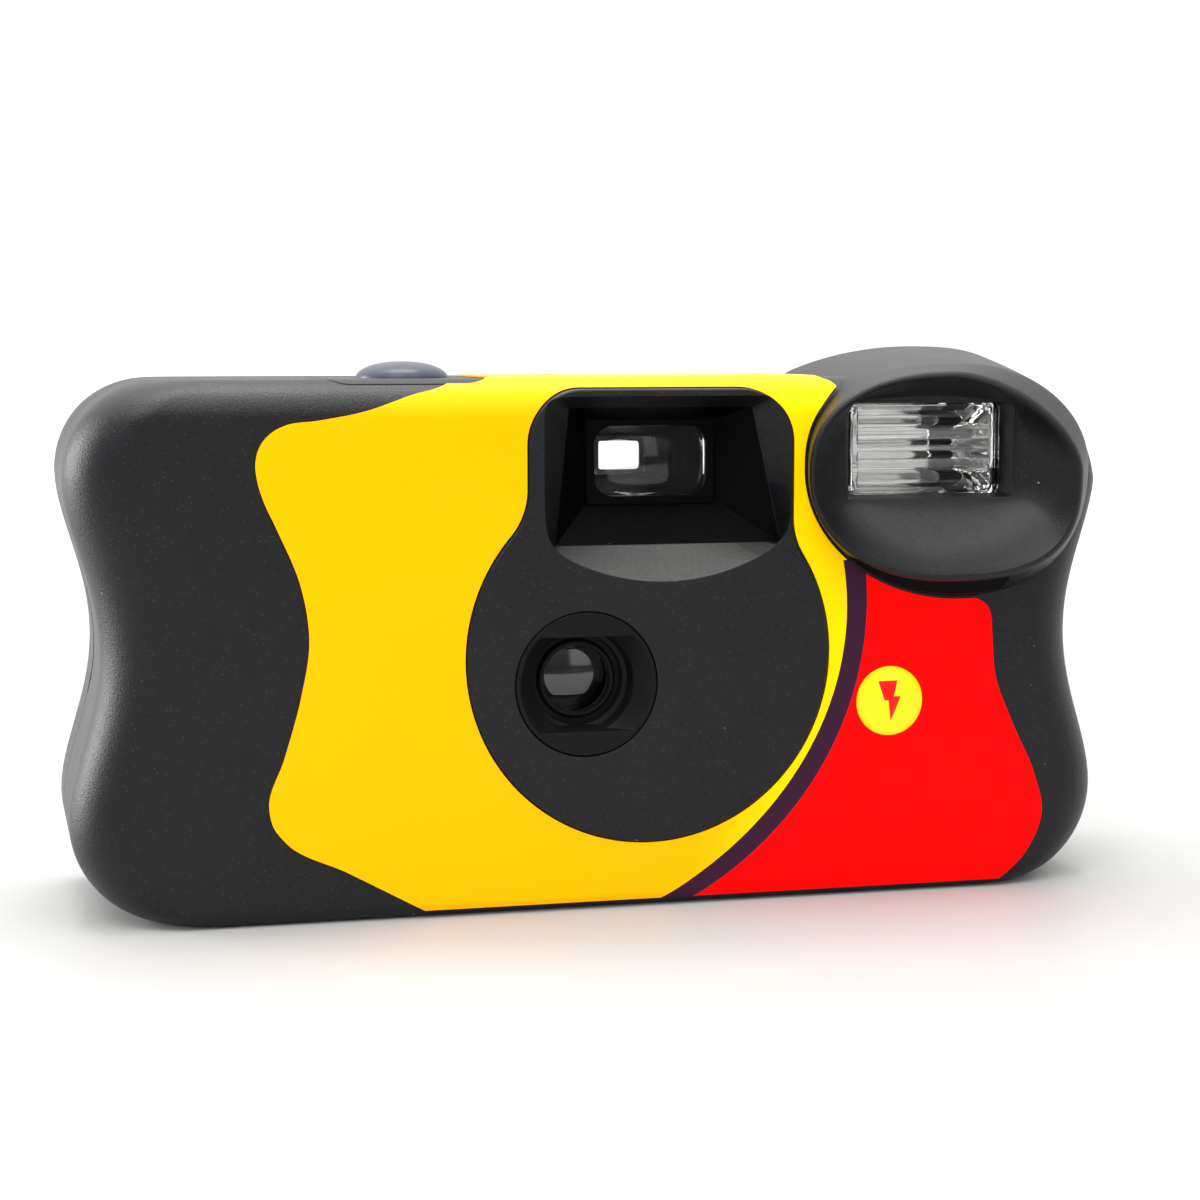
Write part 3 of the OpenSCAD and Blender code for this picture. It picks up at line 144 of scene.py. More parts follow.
class Finish(Nodes):
    """A procedural material around one shader. Its keywords fix what is the same all over, and paint()
    links what varies."""

    def __init__(self, name, **constants):
        self.material = bpy.data.materials.new(name)
        self.material.use_nodes = True
        super().__init__(self.material.node_tree)
        self.shader = self.tree.nodes["Principled BSDF"]
        for key, value in constants.items():
            self.shader.inputs[key.replace("_", " ")].default_value = value
        self.place = self.add("TexCoord", output=3)

    def paint(self, **links):
        for key, value in links.items():
            self.tree.links.new(value.socket, self.shader.inputs[key.replace("_", " ")])
        return self

    def noise(self, size, detail=2.0, roughness=0.5):
        """Cloudy noise from 0 to 1 with features of that size in metres."""
        return self.add("TexNoise", sockets={"Vector": self.place, "Scale": 1 / size, "Detail": detail,
                                             "Roughness": roughness})

    def mix(self, share, low, high):
        """Colour between low and high by share."""
        return self.add("Mix", {"data_type": "RGBA"}, {0: share, 6: low, 7: high}, output=2)

    def bump(self, height, depth, normal=None):
        """Normal of a relief: height from 0 to 1, depth in metres."""
        sockets = {"Height": height, "Strength": 1.0, "Distance": depth}
        if normal is not None:
            sockets["Normal"] = normal
        return self.add("Bump", sockets=sockets)


floor_half = 4.0
floor_corners = np.array([(-1, -1, 0), (1, -1, 0), (1, 1, 0), (-1, 1, 0)]) * floor_half
floor_mesh = bpy.data.meshes.new("floor")
floor_mesh.from_pydata(floor_corners, [], [(0, 1, 2, 3)])
floor = bpy.data.objects.new("floor", floor_mesh)
bpy.context.collection.objects.link(floor)
paper = Finish("table_white", Roughness=0.45, Specular_IOR_Level=0.05)
floor_y = paper.add("SeparateXYZ", sockets={"Vector": paper.place}, output=1)
floor_reach = paper.add("VectorMath", {"operation": "LENGTH"}, {0: paper.place}, output=1)
white = paper.mix(paper.fade(floor_reach + paper.noise(0.4) * 0.05, 0.15, 1.3),
                  (0.385, 0.383, 0.378, 1), (0.93, 0.925, 0.91, 1))
lit = paper.fade(floor_y, -0.36, -0.22)
lit = lit.math("MAXIMUM", lit, paper.add("LightPath"))
paper.paint(Base_Color=paper.mix(lit, (0.05, 0.05, 0.052, 1), white))
floor_mesh.materials.append(paper.material)

world = bpy.data.worlds.new("room")
bpy.context.scene.world = world
world.use_nodes = True
room = Nodes(world.node_tree)
toward = room.add("TexCoord")
sky_x, sky_y, sky_z = [room.add("SeparateXYZ", sockets={"Vector": toward}, output=k) for k in (0, 1, 2)]
sky_front = sky_y.math("MAXIMUM", sky_y * -1.0, 0.05)


def between(value, low, high, soft):
    """One between two values and nought outside, with soft ends."""
    return room.fade(value, low - soft, low) * (1 - room.fade(value, high, high + soft))


front_glow, back_glow, top_glow, window_glow = 0.13, 1.03, 1.35, 1.1
window = (between(sky_x / sky_front, 0.25, 0.55, 0.1) * between(sky_z / sky_front, 0.08, 0.70, 0.08)
          * (sky_y < 0.0))
glow = (room.fade(sky_y, -0.5, 0.25) * (back_glow - front_glow) + front_glow
        + sky_z.math("MAXIMUM", sky_z, 0.0) ** 1.5 * top_glow + window * window_glow)
camera_ray = room.add("LightPath")
glow = glow * (1 - camera_ray) + camera_ray * back_glow
backdrop = world.node_tree.nodes["Background"]
world.node_tree.links.new(glow.socket, backdrop.inputs["Strength"])
backdrop.inputs["Color"].default_value = (1.0, 0.995, 0.985, 1)

for name, place, size, power, mirrored in (
    ("box_above", (0.0, 0.12, 0.75), 0.40, 4.5, True),
    ("box_front", (-0.28, -0.46, 0.72), 0.45, 3.8, True),
    ("box_right", (0.25, -0.45, 0.68), 0.35, 1.4, True),
    ("box_left", (-0.62, 0.30, 0.16), 0.32, 5.0, True),
    ("box_fill", (-0.38, -0.80, 0.20), 0.50, 6.0, False),
):
    lamp = bpy.data.lights.new(name, "AREA")
    lamp.shape, lamp.size, lamp.energy = "SQUARE", size, power
    lamp_object = bpy.data.objects.new(name, lamp)
    bpy.context.collection.objects.link(lamp_object)
    lamp_object.location = place
    lamp_object.rotation_euler = (Vector(place) - Vector((0, 0, 0.03))).to_track_quat("Z", "Y").to_euler()
    lamp_object.visible_glossy = mirrored


# Front cover
# The black moulded front half: waisted ends, rounded top, raised key-shaped panel and flash housing.
# Injection-moulded with a fine spark-eroded grain and snapped to the back cover; painted shade makes it matt
# under the flash.
def node_box(name):
    """Lowest and highest corner of a CAD node and the point between them, in millimetres."""
    low, high = [np.array(corner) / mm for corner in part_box(name)]
    return low, high, (low + high) / 2


cover_low, cover_high, _ = node_box("front_cover")
body_w = cover_high[0] - cover_low[0]
rim_y = cover_low[1]
seam_gap = 0.24
seam_y = cover_high[1] + seam_gap / 2
back_y = node_box("back_cover")[1][1]
body_d = 32.5
front_y = back_y - body_d
body_h, wall = 58.5, 1.5
waist_in, corner_r, flash_corner_r, foot_corner_r = 3.6, 10.5, 13.5, 11.0
front_edge_r, back_edge_r = 7.0, 4.0
top_edge_h, top_edge_d, foot_edge_r = 4.2, 5.0, 1.8
waist_z = (foot_corner_r + body_h - corner_r) / 2
waist_half = (body_h - corner_r - foot_corner_r) / 2
fine = 30


def half_width(z, inset):
    """Half width at each height: a circle at the shoulder, one at the foot, and between them a straight
    side drawn in by a smooth bump, one minus the square of the distance from the waist, squared."""
    shoulder = body_w / 2 - corner_r + np.sqrt(
        np.clip((corner_r - inset) ** 2 - (z - body_h + corner_r) ** 2, 0, None))
    foot = body_w / 2 - foot_corner_r + np.sqrt(
        np.clip((foot_corner_r - inset) ** 2 - (foot_corner_r - z) ** 2, 0, None))
    waist = body_w / 2 - inset - waist_in * (1 - ((z - waist_z) / waist_half) ** 2) ** 2
    return np.where(z > body_h - corner_r, shoulder, np.where(z < foot_corner_r, foot, waist))


def edge_setback(z, inset):
    """Setback of the front and back faces at each height: a quarter ellipse along the top edge and a
    quarter circle along the foot."""
    top = top_edge_d - (top_edge_d - inset) * np.sqrt(
        np.clip(1 - ((z - body_h + top_edge_h) / (top_edge_h - inset)) ** 2, 0, None))
    foot = foot_edge_r - (foot_edge_r - inset) * np.sqrt(
        np.clip(1 - ((foot_edge_r - z) / (foot_edge_r - inset)) ** 2, 0, None))
    return np.where(z > body_h - top_edge_h, top, np.where(z < foot_edge_r, foot, inset))


def body_rings(inset):
    """Level sections of the body from foot to top: at each height a rectangle with two large corners in
    front and two small ones at the back, drawn in by inset. The flash end has the wider shoulder."""
    swing = np.radians(np.linspace(0, 90, fine, endpoint=False))
    z = np.concatenate([inset + (foot_corner_r - inset) * (1 - np.cos(swing)),
                        np.linspace(foot_corner_r, body_h - corner_r, fine),
                        body_h - inset - (corner_r - inset) * (1 - np.cos(swing[::-1]))])[:, None]
    w, e = half_width(z, inset), edge_setback(z, inset)
    rise = np.clip(z - body_h + flash_corner_r, 0, flash_corner_r - inset)
    w_flash = np.minimum(w, body_w / 2 - flash_corner_r + np.sqrt((flash_corner_r - inset) ** 2 - rise ** 2))
    turn = np.radians(np.linspace(0, 90, fine))
    rf, rb = front_edge_r - inset, back_edge_r - inset
    front, back = front_y + e + rf, back_y - e - rb
    corners = [(rf - w, front, rf, math.pi), (w_flash - rf, front, rf, 1.5 * math.pi),
               (w_flash - rb, back, rb, 0), (rb - w, back, rb, math.pi / 2)]
    x = np.concatenate([cx + r * np.cos(turn + start) for cx, cy, r, start in corners], axis=1)
    y = np.concatenate([cy + r * np.sin(turn + start) for cx, cy, r, start in corners], axis=1)
    return np.stack([x, y, np.broadcast_to(z, x.shape)], axis=-1)


def closed_mesh(name, points, faces):
    """Mesh through points in millimetres, with doubles merged and faces turned outwards."""
    mesh = bpy.data.meshes.new(name)
    mesh.from_pydata(points * mm, [], faces)
    shape = bmesh.new()
    shape.from_mesh(mesh)
    bmesh.ops.remove_doubles(shape, verts=shape.verts, dist=1e-7)
    bmesh.ops.recalc_face_normals(shape, faces=shape.faces)
    shape.to_mesh(mesh)
    shape.free()
    made = bpy.data.objects.new(name, mesh)
    bpy.context.collection.objects.link(made)
    return made


def solid(name, rings):
    """Closed solid through a stack of rings with equal point counts, with flat ends."""
    stacks, count, _ = rings.shape
    k, j = np.meshgrid(np.arange(stacks - 1) * count, np.arange(count), indexing="ij")
    right = (j + 1) % count
    quads = np.stack([k + j, k + right, k + right + count, k + j + count], axis=-1).reshape(-1, 4)
    ends = [np.arange(count)[::-1].tolist(), (np.arange(count) + (stacks - 1) * count).tolist()]
    return closed_mesh(name, rings.reshape(-1, 3), quads.tolist() + ends)


def combine(base, operation, *tools):
    """Boolean of closed solids, applied at once. The tools are used up."""
    for tool in tools:
        step = base.modifiers.new("step", "BOOLEAN")
        step.object, step.operation, step.solver = tool, operation, "MANIFOLD"
        old = base.data
        made = bpy.data.meshes.new_from_object(base.evaluated_get(bpy.context.evaluated_depsgraph_get()))
        base.modifiers.clear()
        base.data = made
        made.name = base.name
        bpy.data.meshes.remove(old)
        bpy.data.meshes.remove(tool.data)
    return base


def upright(outlines, depths, name="upright"):
    """Solid whose outlines in X and Z, one for each depth, stand along Y."""
    return solid(name, np.stack([np.insert(o, 1, y, axis=1) for o, y in zip(outlines, depths)]))


def level(outlines, heights, name="level"):
    """Solid whose outlines in X and Y, one for each height, lie above each other along Z."""
    return solid(name, np.stack([np.insert(o, 2, z, axis=1) for o, z in zip(outlines, heights)]))


def rectangle(x0, z0, x1, z1):
    """The four corners of a rectangle, in turn."""
    return np.array([(x0, z0), (x1, z0), (x1, z1), (x0, z1)])


def block(low, high):
    """Rectangular solid between two corners."""
    return level([rectangle(*low[:2], *high[:2])] * 2, (low[2], high[2]), "block")


def circle(x, z, r, count=128):
    """Points of a circle: centre plus radius times cosine and sine."""
    a = np.linspace(0, 2 * np.pi, count, endpoint=False)
    return np.c_[x + r * np.cos(a), z + r * np.sin(a)]


def pane(x, z, w, h, r):
    """Rectangle with four round corners, centred on x and z."""
    turn = np.radians(np.linspace(0, 90, 13))
    return np.concatenate([
        np.c_[x + sx * (w / 2 - r) + r * np.cos(turn + a), z + sz * (h / 2 - r) + r * np.sin(turn + a)]
        for sx, sz, a in ((1, 1, 0), (-1, 1, math.pi / 2), (-1, -1, math.pi), (1, -1, 1.5 * math.pi))])


def bar_y(x, z, r, y0, y1):
    """Round bar along Y."""
    return upright([circle(x, z, r)] * 2, (y0, y1))


def bar_z(x, y, r, z0, z1):
    """Round bar along Z."""
    return level([circle(x, y, r)] * 2, (z0, z1))


def bar_x(y, z, r, x0, x1, count=192):
    """Round bar along X."""
    return solid("bar", np.stack([np.insert(circle(y, z, r, count), 0, x, axis=1) for x in (x0, x1)]))


flash_z = body_h - 8.9
flash_x = body_w / 2 - 21.75
housing_knots = np.array([  # depth, middle in x and z, reach right, up, left and down, power of each quarter
    (rim_y, flash_x, flash_z - 1.66, 15.66, 11.22, 16.67, 11.79, 1.64, 2.33, 2.14, 2.83),
    (front_y, flash_x + 3.0, flash_z - 1.17, 15.42, 11.6, 18.4, 14.68, 1.98, 2.57, 1.98, 2.3),
    (seam_y, flash_x + 4.19, flash_z, 15.19, 12.27, 23.89, 15.4, 2.9, 1.91, 2.0, 2.0),
])


def egg(row, inset=0.0, count=240):
    """Outline of the flash housing: four quarters of superellipses around the row's middle, each with the
    reach to its two sides and its power, drawn in by inset."""
    x, z, right, up, left, down, *powers = row
    t = np.linspace(0, 2 * np.pi, count, endpoint=False)
    c, s = np.cos(t), np.sin(t)
    power = np.where(s >= 0, np.where(c >= 0, powers[0], powers[1]), np.where(c < 0, powers[2], powers[3]))
    far = (np.abs(c) ** power + np.abs(s) ** power) ** (-1 / power)
    reach_x, reach_z = np.where(c > 0, right, left) - inset, np.where(s > 0, up, down) - inset
    return np.c_[x + reach_x * far * c, z + reach_z * far * s]


def housing(inset, y0, y1, rim_round=0.0):
    """Flash housing from y0 back to y1: egg outlines that widen from the rim to the seam, the first ones
    drawn in along a quarter circle."""
    roll, steps = np.linspace(0, math.pi / 2, 9), 40
    lip_y = y0 + rim_round * (1 - np.cos(roll))
    y = np.concatenate([lip_y, np.linspace(lip_y[-1] + 0.1, y1, steps)])
    pull = np.concatenate([rim_round * (1 - np.sin(roll)), np.zeros(steps)]) + inset
    knots = housing_knots.T
    rows = np.stack([np.interp(y, knots[0], column) for column in knots[1:]], axis=1)
    return upright([egg(row, p) for row, p in zip(rows, pull)], y)


window_low, window_high, (window_x, _, window_z) = node_box("flash_window")
window_w, window_h, window_front = 18.4, 10.3, window_low[1]
dish_floor = front_y - 0.3
collar_back = window_front + 1.2


def window_pane(wider, taller, r, aside=0.0):
    """Round-cornered outline about the flash window, that much wider and taller than the window itself."""
    return pane(window_x + aside, window_z, window_w + wider, window_h + taller, r)


def around_window(like, w, h, power=14):
    """Rectangle with small round corners (a superellipse), with one point on the ray to each point of
    another outline."""
    dx, dz = like[:, 0] - window_x, like[:, 1] - window_z
    a = np.arctan2(dz, dx)
    r = (np.abs(np.cos(a) / (w / 2)) ** power + np.abs(np.sin(a) / (h / 2)) ** power) ** (-1 / power)
    return np.c_[window_x + r * np.cos(a), window_z + r * np.sin(a)]


def dish(grow):
    """Bowl between the flash rim and the window: straight rays from the rim's egg to the window's edge,
    sunk along a curve that is steep at the rim and flat at the window."""
    lip = 0.8
    outer = egg(housing_knots[0, 1:], lip - grow * 0.4, count=480)
    inner = around_window(outer, window_w + 1.2 + 2 * grow, window_h + 1.2 + 2 * grow)
    t = np.linspace(0, 1, 24)
    sink = rim_y + grow + (dish_floor - rim_y) * (1 - (1 - t) ** 1.5)
    flare = egg(housing_knots[0, 1:], lip - grow * 0.4 - 0.3, count=480)
    rings = [flare, flare] + [outer + (inner - outer) * s for s in t]
    return upright(rings, np.concatenate([[rim_y - 2, rim_y - 0.02 + grow], sink + 0.3 * (1 - t)]))


lens_low, lens_high, (lens_x, _, lens_z) = node_box("lens_retainer")
panel_x, panel_z, panel_r, panel_proud = lens_x + 7.3, lens_z + 2.8, 20.6, 0.45
neck_x, neck_half, neck_top, neck_corner, neck_blend = lens_x + 8.6, 15.0, body_h - 1.1, 6.0, 8.0


def keyhole(grow):
    """Outline of the raised panel: a disc joined to a round-cornered neck by hollow fillets, grown by an
    offset."""
    r, corner, hollow = panel_r + grow, neck_corner + grow, neck_blend - grow
    left, right, top = neck_x - neck_half - grow, neck_x + neck_half + grow, neck_top + grow

    def sweep(cx, cz, radius, start, end, count):
        a = np.linspace(start, end, count)
        return np.c_[cx + radius * np.cos(a), cz + radius * np.sin(a)]

    rise_r = math.acos((right + hollow - panel_x) / (r + hollow))
    rise_l = math.acos((panel_x - left + hollow) / (r + hollow))
    height_r = panel_z + (r + hollow) * math.sin(rise_r)
    height_l = panel_z + (r + hollow) * math.sin(rise_l)
    return np.concatenate([
        sweep(panel_x, panel_z, r, -math.pi - rise_l, rise_r, 160),
        sweep(right + hollow, height_r, hollow, rise_r + math.pi, math.pi, 24),
        sweep(right - corner, top - corner, corner, 0, math.pi / 2, 24),
        sweep(left + corner, top - corner, corner, math.pi / 2, math.pi, 24),
        sweep(left - hollow, height_l, hollow, 0, -rise_l, 24)])


finder_low, finder_high, (finder_x, _, finder_z) = node_box("finder_front_lens")
finder_front = finder_low[1]
finder_w, finder_h = 13.8, 8.6
mouth = np.array([(finder_x - 11.8, finder_z - 9.1), (finder_x + 14.2, finder_z - 9.1),
                  (finder_x + 10.8, body_h - 3.2), (finder_x - 10.2, body_h - 3.2)])
mouth_back = front_y + 2.5
scoop_x, scoop_z, scoop_r = finder_x, body_h + 1.5, 23.75
scoop_left, scoop_right, scoop_top = finder_x - 13.6, mouth[1, 0] + 0.35, body_h - 1.9


def funnel(grow):
    """Tapered tube from the finder's mouth to the frame of its front lens: straight lines join the two
    outlines, side by side and point by point."""
    corners = rectangle(-1, -1, 1, 1)
    ends = mouth + grow * corners, (finder_x, finder_z) + corners * (finder_w / 2 + grow, finder_h / 2 + grow)
    t = np.linspace(0, 1, 13)
    near, far = [(e[:, None] + (np.roll(e, -1, axis=0) - e)[:, None] * t[:-1, None]).reshape(-1, 2)
                 for e in ends]
    reach = finder_front - 0.23 - mouth_back
    return upright([near + (far - near) * s for s in t], mouth_back - 0.02 + reach * t)


def scoop():
    """Hollow around the finder's mouth: on each ray from the mouth's middle, a straight slope from the
    outer outline, a circle cut off at its sides and its top, to the mouth's edge."""
    mid = mouth.mean(axis=0)
    a = np.linspace(0, 2 * np.pi, 720, endpoint=False)
    ray = np.c_[np.cos(a), np.sin(a)]
    side = np.roll(mouth, -1, axis=0) - mouth
    outward = np.c_[side[:, 1], -side[:, 0]]
    inner = mid + ray / np.max(ray @ outward.T / np.sum(outward * (mouth - mid), axis=1), axis=1)[:, None]
    off = mid - (scoop_x, scoop_z)
    along = ray @ off
    far_circle = -along + np.sqrt(along ** 2 - off @ off + scoop_r ** 2)
    with np.errstate(divide="ignore"):
        far_side = (np.where(ray[:, 0] < 0, scoop_left, scoop_right) - mid[0]) / ray[:, 0]
        far_top = np.where(ray[:, 1] > 0, (scoop_top - mid[1]) / ray[:, 1], np.inf)
    power = 14
    far = (far_circle ** -power + np.abs(far_side) ** -power + far_top ** -power) ** (-1 / power)
    outer = mid + ray * far[:, None]
    face = front_y - panel_proud
    return upright([outer, outer, inner, inner], (face - 1, face + 0.001, mouth_back - 0.01, mouth_back))


def groove_around(outline_at, depth):
    """Thin seam cut into the outer skin: the wall between two grown solids, kept only near the surface."""
    ring = combine(outline_at(0.12), "DIFFERENCE", outline_at(-0.12))
    return combine(ring, "DIFFERENCE", solid("core", body_rings(depth)))


button_low, button_high, (button_x, button_y, _) = node_box("shutter_button")
lamp_x, lamp_y, _ = node_box("ready_lamp")[2]
counter_x, counter_y, _ = node_box("counter_window")[2]
key_low, key_high, (key_x, _, key_z) = node_box("flash_button")
door_low, door_high, (door_mid_x, _, _) = node_box("battery_door")
top_cut = body_h - 3, body_h + 1
hinge_y = door_high[1] - 0.75
notch_r, notch_reach, notch_gap = 12.2, 10.0, 1.1


def end_notches(r):
    """Round bars across both ends, whose fronts give the crescents at the waist."""
    return [bar_x(seam_y + notch_reach, waist_z, r, x - 9, x + 9) for x in (-body_w / 2, body_w / 2)]


def counter_opening(grow):
    """Round-cornered hole of the counter window through the top."""
    return level([pane(counter_x, counter_y, 4.2 + 2 * grow, 3.4 + 2 * grow, 0.8)] * 2, top_cut)


def button_panel(grow):
    """Flat region around the shutter button, from the top's front rounding back to the seam."""
    return level([pane(-22.4, 1.0, 17.2 + 2 * grow, 26.0 + 2 * grow, 2.5 + grow)] * 2, top_cut)


inside_front = front_y + wall
before_seam = block((-body_w, rim_y - 5, -5), (body_w, seam_y - seam_gap / 2, body_h + 9))
front_cover = solid("front_cover_shell", body_rings(0))
combine(front_cover, "UNION", housing(0, rim_y, seam_y, 0.55))
combine(front_cover, "INTERSECT", before_seam)
pad_round = np.linspace(0, math.pi / 2, 7)
combine(front_cover, "UNION", upright(
    [keyhole(-0.3 * (1 - math.sin(a))) for a in pad_round] + [keyhole(0)],
    [front_y - panel_proud + 0.3 * (1 - math.cos(a)) for a in pad_round] + [front_y + 4]))

cavity = combine(solid("cavity", body_rings(wall)), "UNION", housing(wall, front_y + wall, seam_y + 2))
combine(cavity, "DIFFERENCE",
        block((-body_w, rim_y - 9, -5), (body_w, inside_front, body_h + 9)), dish(wall),
        upright([window_pane(4.4, 2.6, 1.5, -0.8)] * 2, (dish_floor - 1, collar_back)),
        funnel(1.2),
        upright([rectangle(mouth[0, 0] - 3, mouth[0, 1] - 5.2, mouth[1, 0] + 1.2, body_h + 2)] * 2,
                (inside_front - 1, mouth_back + 2.2)))
combine(front_cover, "DIFFERENCE", cavity, dish(0),
        upright([window_pane(2.2, 0.5, 0.7, -0.9)] + [window_pane(0.2, 0.2, 0.7)] * 2,
                (dish_floor - 1, window_front - 0.2, collar_back + 1)),
        scoop(), funnel(0),
        bar_y(lens_x, lens_z, lens_high[0] - lens_x + 0.1, front_y - 2, inside_front + 1),
        bar_y(key_x, key_z, 4.05, front_y - 2, inside_front + 1),
        bar_z(button_x, button_y, 5.35, body_h - 3, body_h + 2),
        bar_z(lamp_x, lamp_y, 2.2, body_h - 4, body_h + 9),
        counter_opening(0.1), groove_around(button_panel, 0.25),
        *end_notches(notch_r),
        block((door_low[0] + 0.8, door_low[1] - 0.2, -1),
              (door_high[0] - 0.8, door_high[1] + 0.45, wall + 1)))
finder_frame = upright([pane(finder_x, finder_z, finder_w + 1, finder_h + 1, 0.5)] * 2,
                       (finder_front - 0.9, finder_front - 0.1))
finder_hole = upright([pane(finder_x, finder_z, finder_w - 0.8, finder_h - 0.8, 2.2)] * 2,
                      (finder_front - 2, finder_front + 1))
combine(front_cover, "UNION", combine(finder_frame, "DIFFERENCE", finder_hole))


def smooth(piece, angle=32):
    """Smooth shading with hard edges past an angle, large faces keeping their own normals."""
    piece.data.shade_smooth()
    piece.data.set_sharp_from_angle(angle=math.radians(angle))
    weighted = piece.modifiers.new("even_normals", "WEIGHTED_NORMAL")
    weighted.keep_sharp = True
    return piece


black = Finish("black_satin_plastic", Specular_IOR_Level=0.30)
across, depth, height = [black.add("SeparateXYZ", sockets={"Vector": black.place}, output=k) / mm
                         for k in (0, 1, 2)]
# Painted shade: inside the finder's funnel the plastic is made near-black and mostly metallic, so it shows as
# dark as a shaded recess.
funnel_shade = ((depth > mouth_back + 0.02) * (depth < finder_front) * (across > mouth[0, 0])
               * (across < mouth[1, 0]) * (height > mouth[0, 1]) * (height < mouth[2, 1]))
# Painted light: the up-facing brow under the finder's mouth is made lighter, as if lit from above; its
# pebbled pattern is the grain.
brow_painted_light = ((depth < mouth_back) * (depth > front_y - panel_proud + 0.05) * (height < mouth[0, 1])
             * ((across - scoop_x) ** 2 + (height - scoop_z) ** 2 < scoop_r ** 2))
rim_z = housing_knots[0, 2]
# Painted highlight: the lower slope of the flash bowl is lighter, fading out upwards and towards the rim, as
# if catching light from above.
bowl_edge = ((across - flash_x) / 15.6) ** 2 + ((height - rim_z) / 10.9) ** 2
bowl_painted_highlight = ((depth > rim_y + 0.05) * (depth < dish_floor + 0.35)
             * black.fade(height, flash_z - 3, flash_z - 7) * black.fade(bowl_edge, 0.95, 0.5))
grain, pebble, patches = black.noise(0.00022, 3.0, 0.6), black.noise(0.0004, 2.0), black.noise(0.011, 3.0)
dust_cell, glint_cell = [black.add("TexVoronoi", {"feature": "F1"}, {"Vector": black.place, "Scale": scale})
                           for scale in (300.0, 1700.0)]
dust = (dust_cell < 0.035) * (black.noise(0.006, 1.0) > 0.52)
# Grey of the dust and of the painted glints.
dust_and_glint_grey = (0.42, 0.41, 0.39, 1)
skin = black.mix(patches, (0.0038, 0.0038, 0.0050, 1), (0.0064, 0.0064, 0.0080, 1))
# Painted glints: tiny light specks scattered over the grain.
skin = black.mix((glint_cell < 0.12) * 0.07, skin, dust_and_glint_grey)
# Painted highlight on the bowl's lower slope.
skin = black.mix(bowl_painted_highlight, skin, black.mix(pebble, (0.014, 0.014, 0.015, 1), (0.034, 0.034, 0.035, 1)))
# Painted light on the brow.
skin = black.mix(brow_painted_light, skin, black.mix(pebble, (0.034, 0.034, 0.033, 1), (0.064, 0.064, 0.061, 1)))
# Painted shade inside the finder's funnel.
skin = black.mix(funnel_shade, skin, (0.0015, 0.0016, 0.0022, 1))
black.paint(
    Base_Color=black.mix(dust * 0.4, skin, dust_and_glint_grey), Metallic=funnel_shade * 0.85,
    Roughness=0.31 + patches * 0.09 + grain * 0.1,
    Normal=black.bump(grain, 0.00006, black.add("Bevel", {"samples": 4}, {"Radius": 0.00018})))


def fit(piece, finish, body, slot, *nodes):
    """Gives a finished piece its material and its body, and hides the CAD nodes that it stands for. The slot
    is not used.
    """
    piece.data.materials.clear()
    piece.data.materials.append(finish.material)
    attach(piece, body)
    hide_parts(*nodes)


fit(smooth(front_cover), black, "camera_body", "black_shell", "front_cover")
# Painted shade: the housing's lower flank under the flash gets a matt black without reflection, as dark as
# the shade that falls there.
matt = Finish("black_matt_painted_shade", Specular_IOR_Level=0.0, Roughness=0.6)
matt.paint(Base_Color=matt.mix(matt.noise(0.0004), (0.005, 0.005, 0.006, 1), (0.011, 0.011, 0.012, 1)))
front_cover.data.materials.append(matt.material)
middles = np.empty(3 * len(front_cover.data.polygons), dtype=np.float32)
front_cover.data.polygons.foreach_get("center", middles)
mid_x, mid_y, mid_z = middles.reshape(-1, 3).T / mm
flank_in_painted_shade = ((mid_z < flash_z - 9) & (mid_y > rim_y + 0.6) & (mid_y < front_y - panel_proud - 0.02)
               & (((mid_x - flash_x) / 16.3) ** 2 + ((mid_z - rim_z) / 11.4) ** 2 > 1)
               & (mid_x > flash_x - 11) & (mid_x < flash_x + 7.5))
front_cover.data.polygons.foreach_set("material_index", flank_in_painted_shade.astype(np.int32))

# Back cover
# The black moulded back half, with the slot for the winding wheel, the eyepiece's sunk frame and a tongue at
# each end that fills the front cover's crescent.
wheel_low, wheel_high, (wheel_x, wheel_y, _) = node_box("thumbwheel")
wheel_r = (wheel_high[0] - wheel_low[0]) / 2
wheel_top, wheel_t = wheel_high[2], 4.6
wheel_z = wheel_top - wheel_t / 2
eyepiece_w, eyepiece_h = 8.4, 5.6
tail_knots = np.array([
    (seam_y, *housing_knots[2, 1:]),
    (back_y - 3, flash_x + 1.5, flash_z, 16.25, 8.2, 16.25, 12.0, 2.0, 2.0, 2.0, 2.0),
])


def housing_tail(inset, y0, y1):
    """Rear end of the flash housing: the egg shrinks from the seam to the back, slowly at first, as a
    power of the way."""
    y = np.linspace(y0, y1, 40)
    share = np.clip((y - seam_y) / (back_y - 3 - seam_y), 0, 1)[:, None] ** 1.6
    first, last = tail_knots[:, 1:]
    return upright([egg(row, inset) for row in first + (last - first) * share], y)


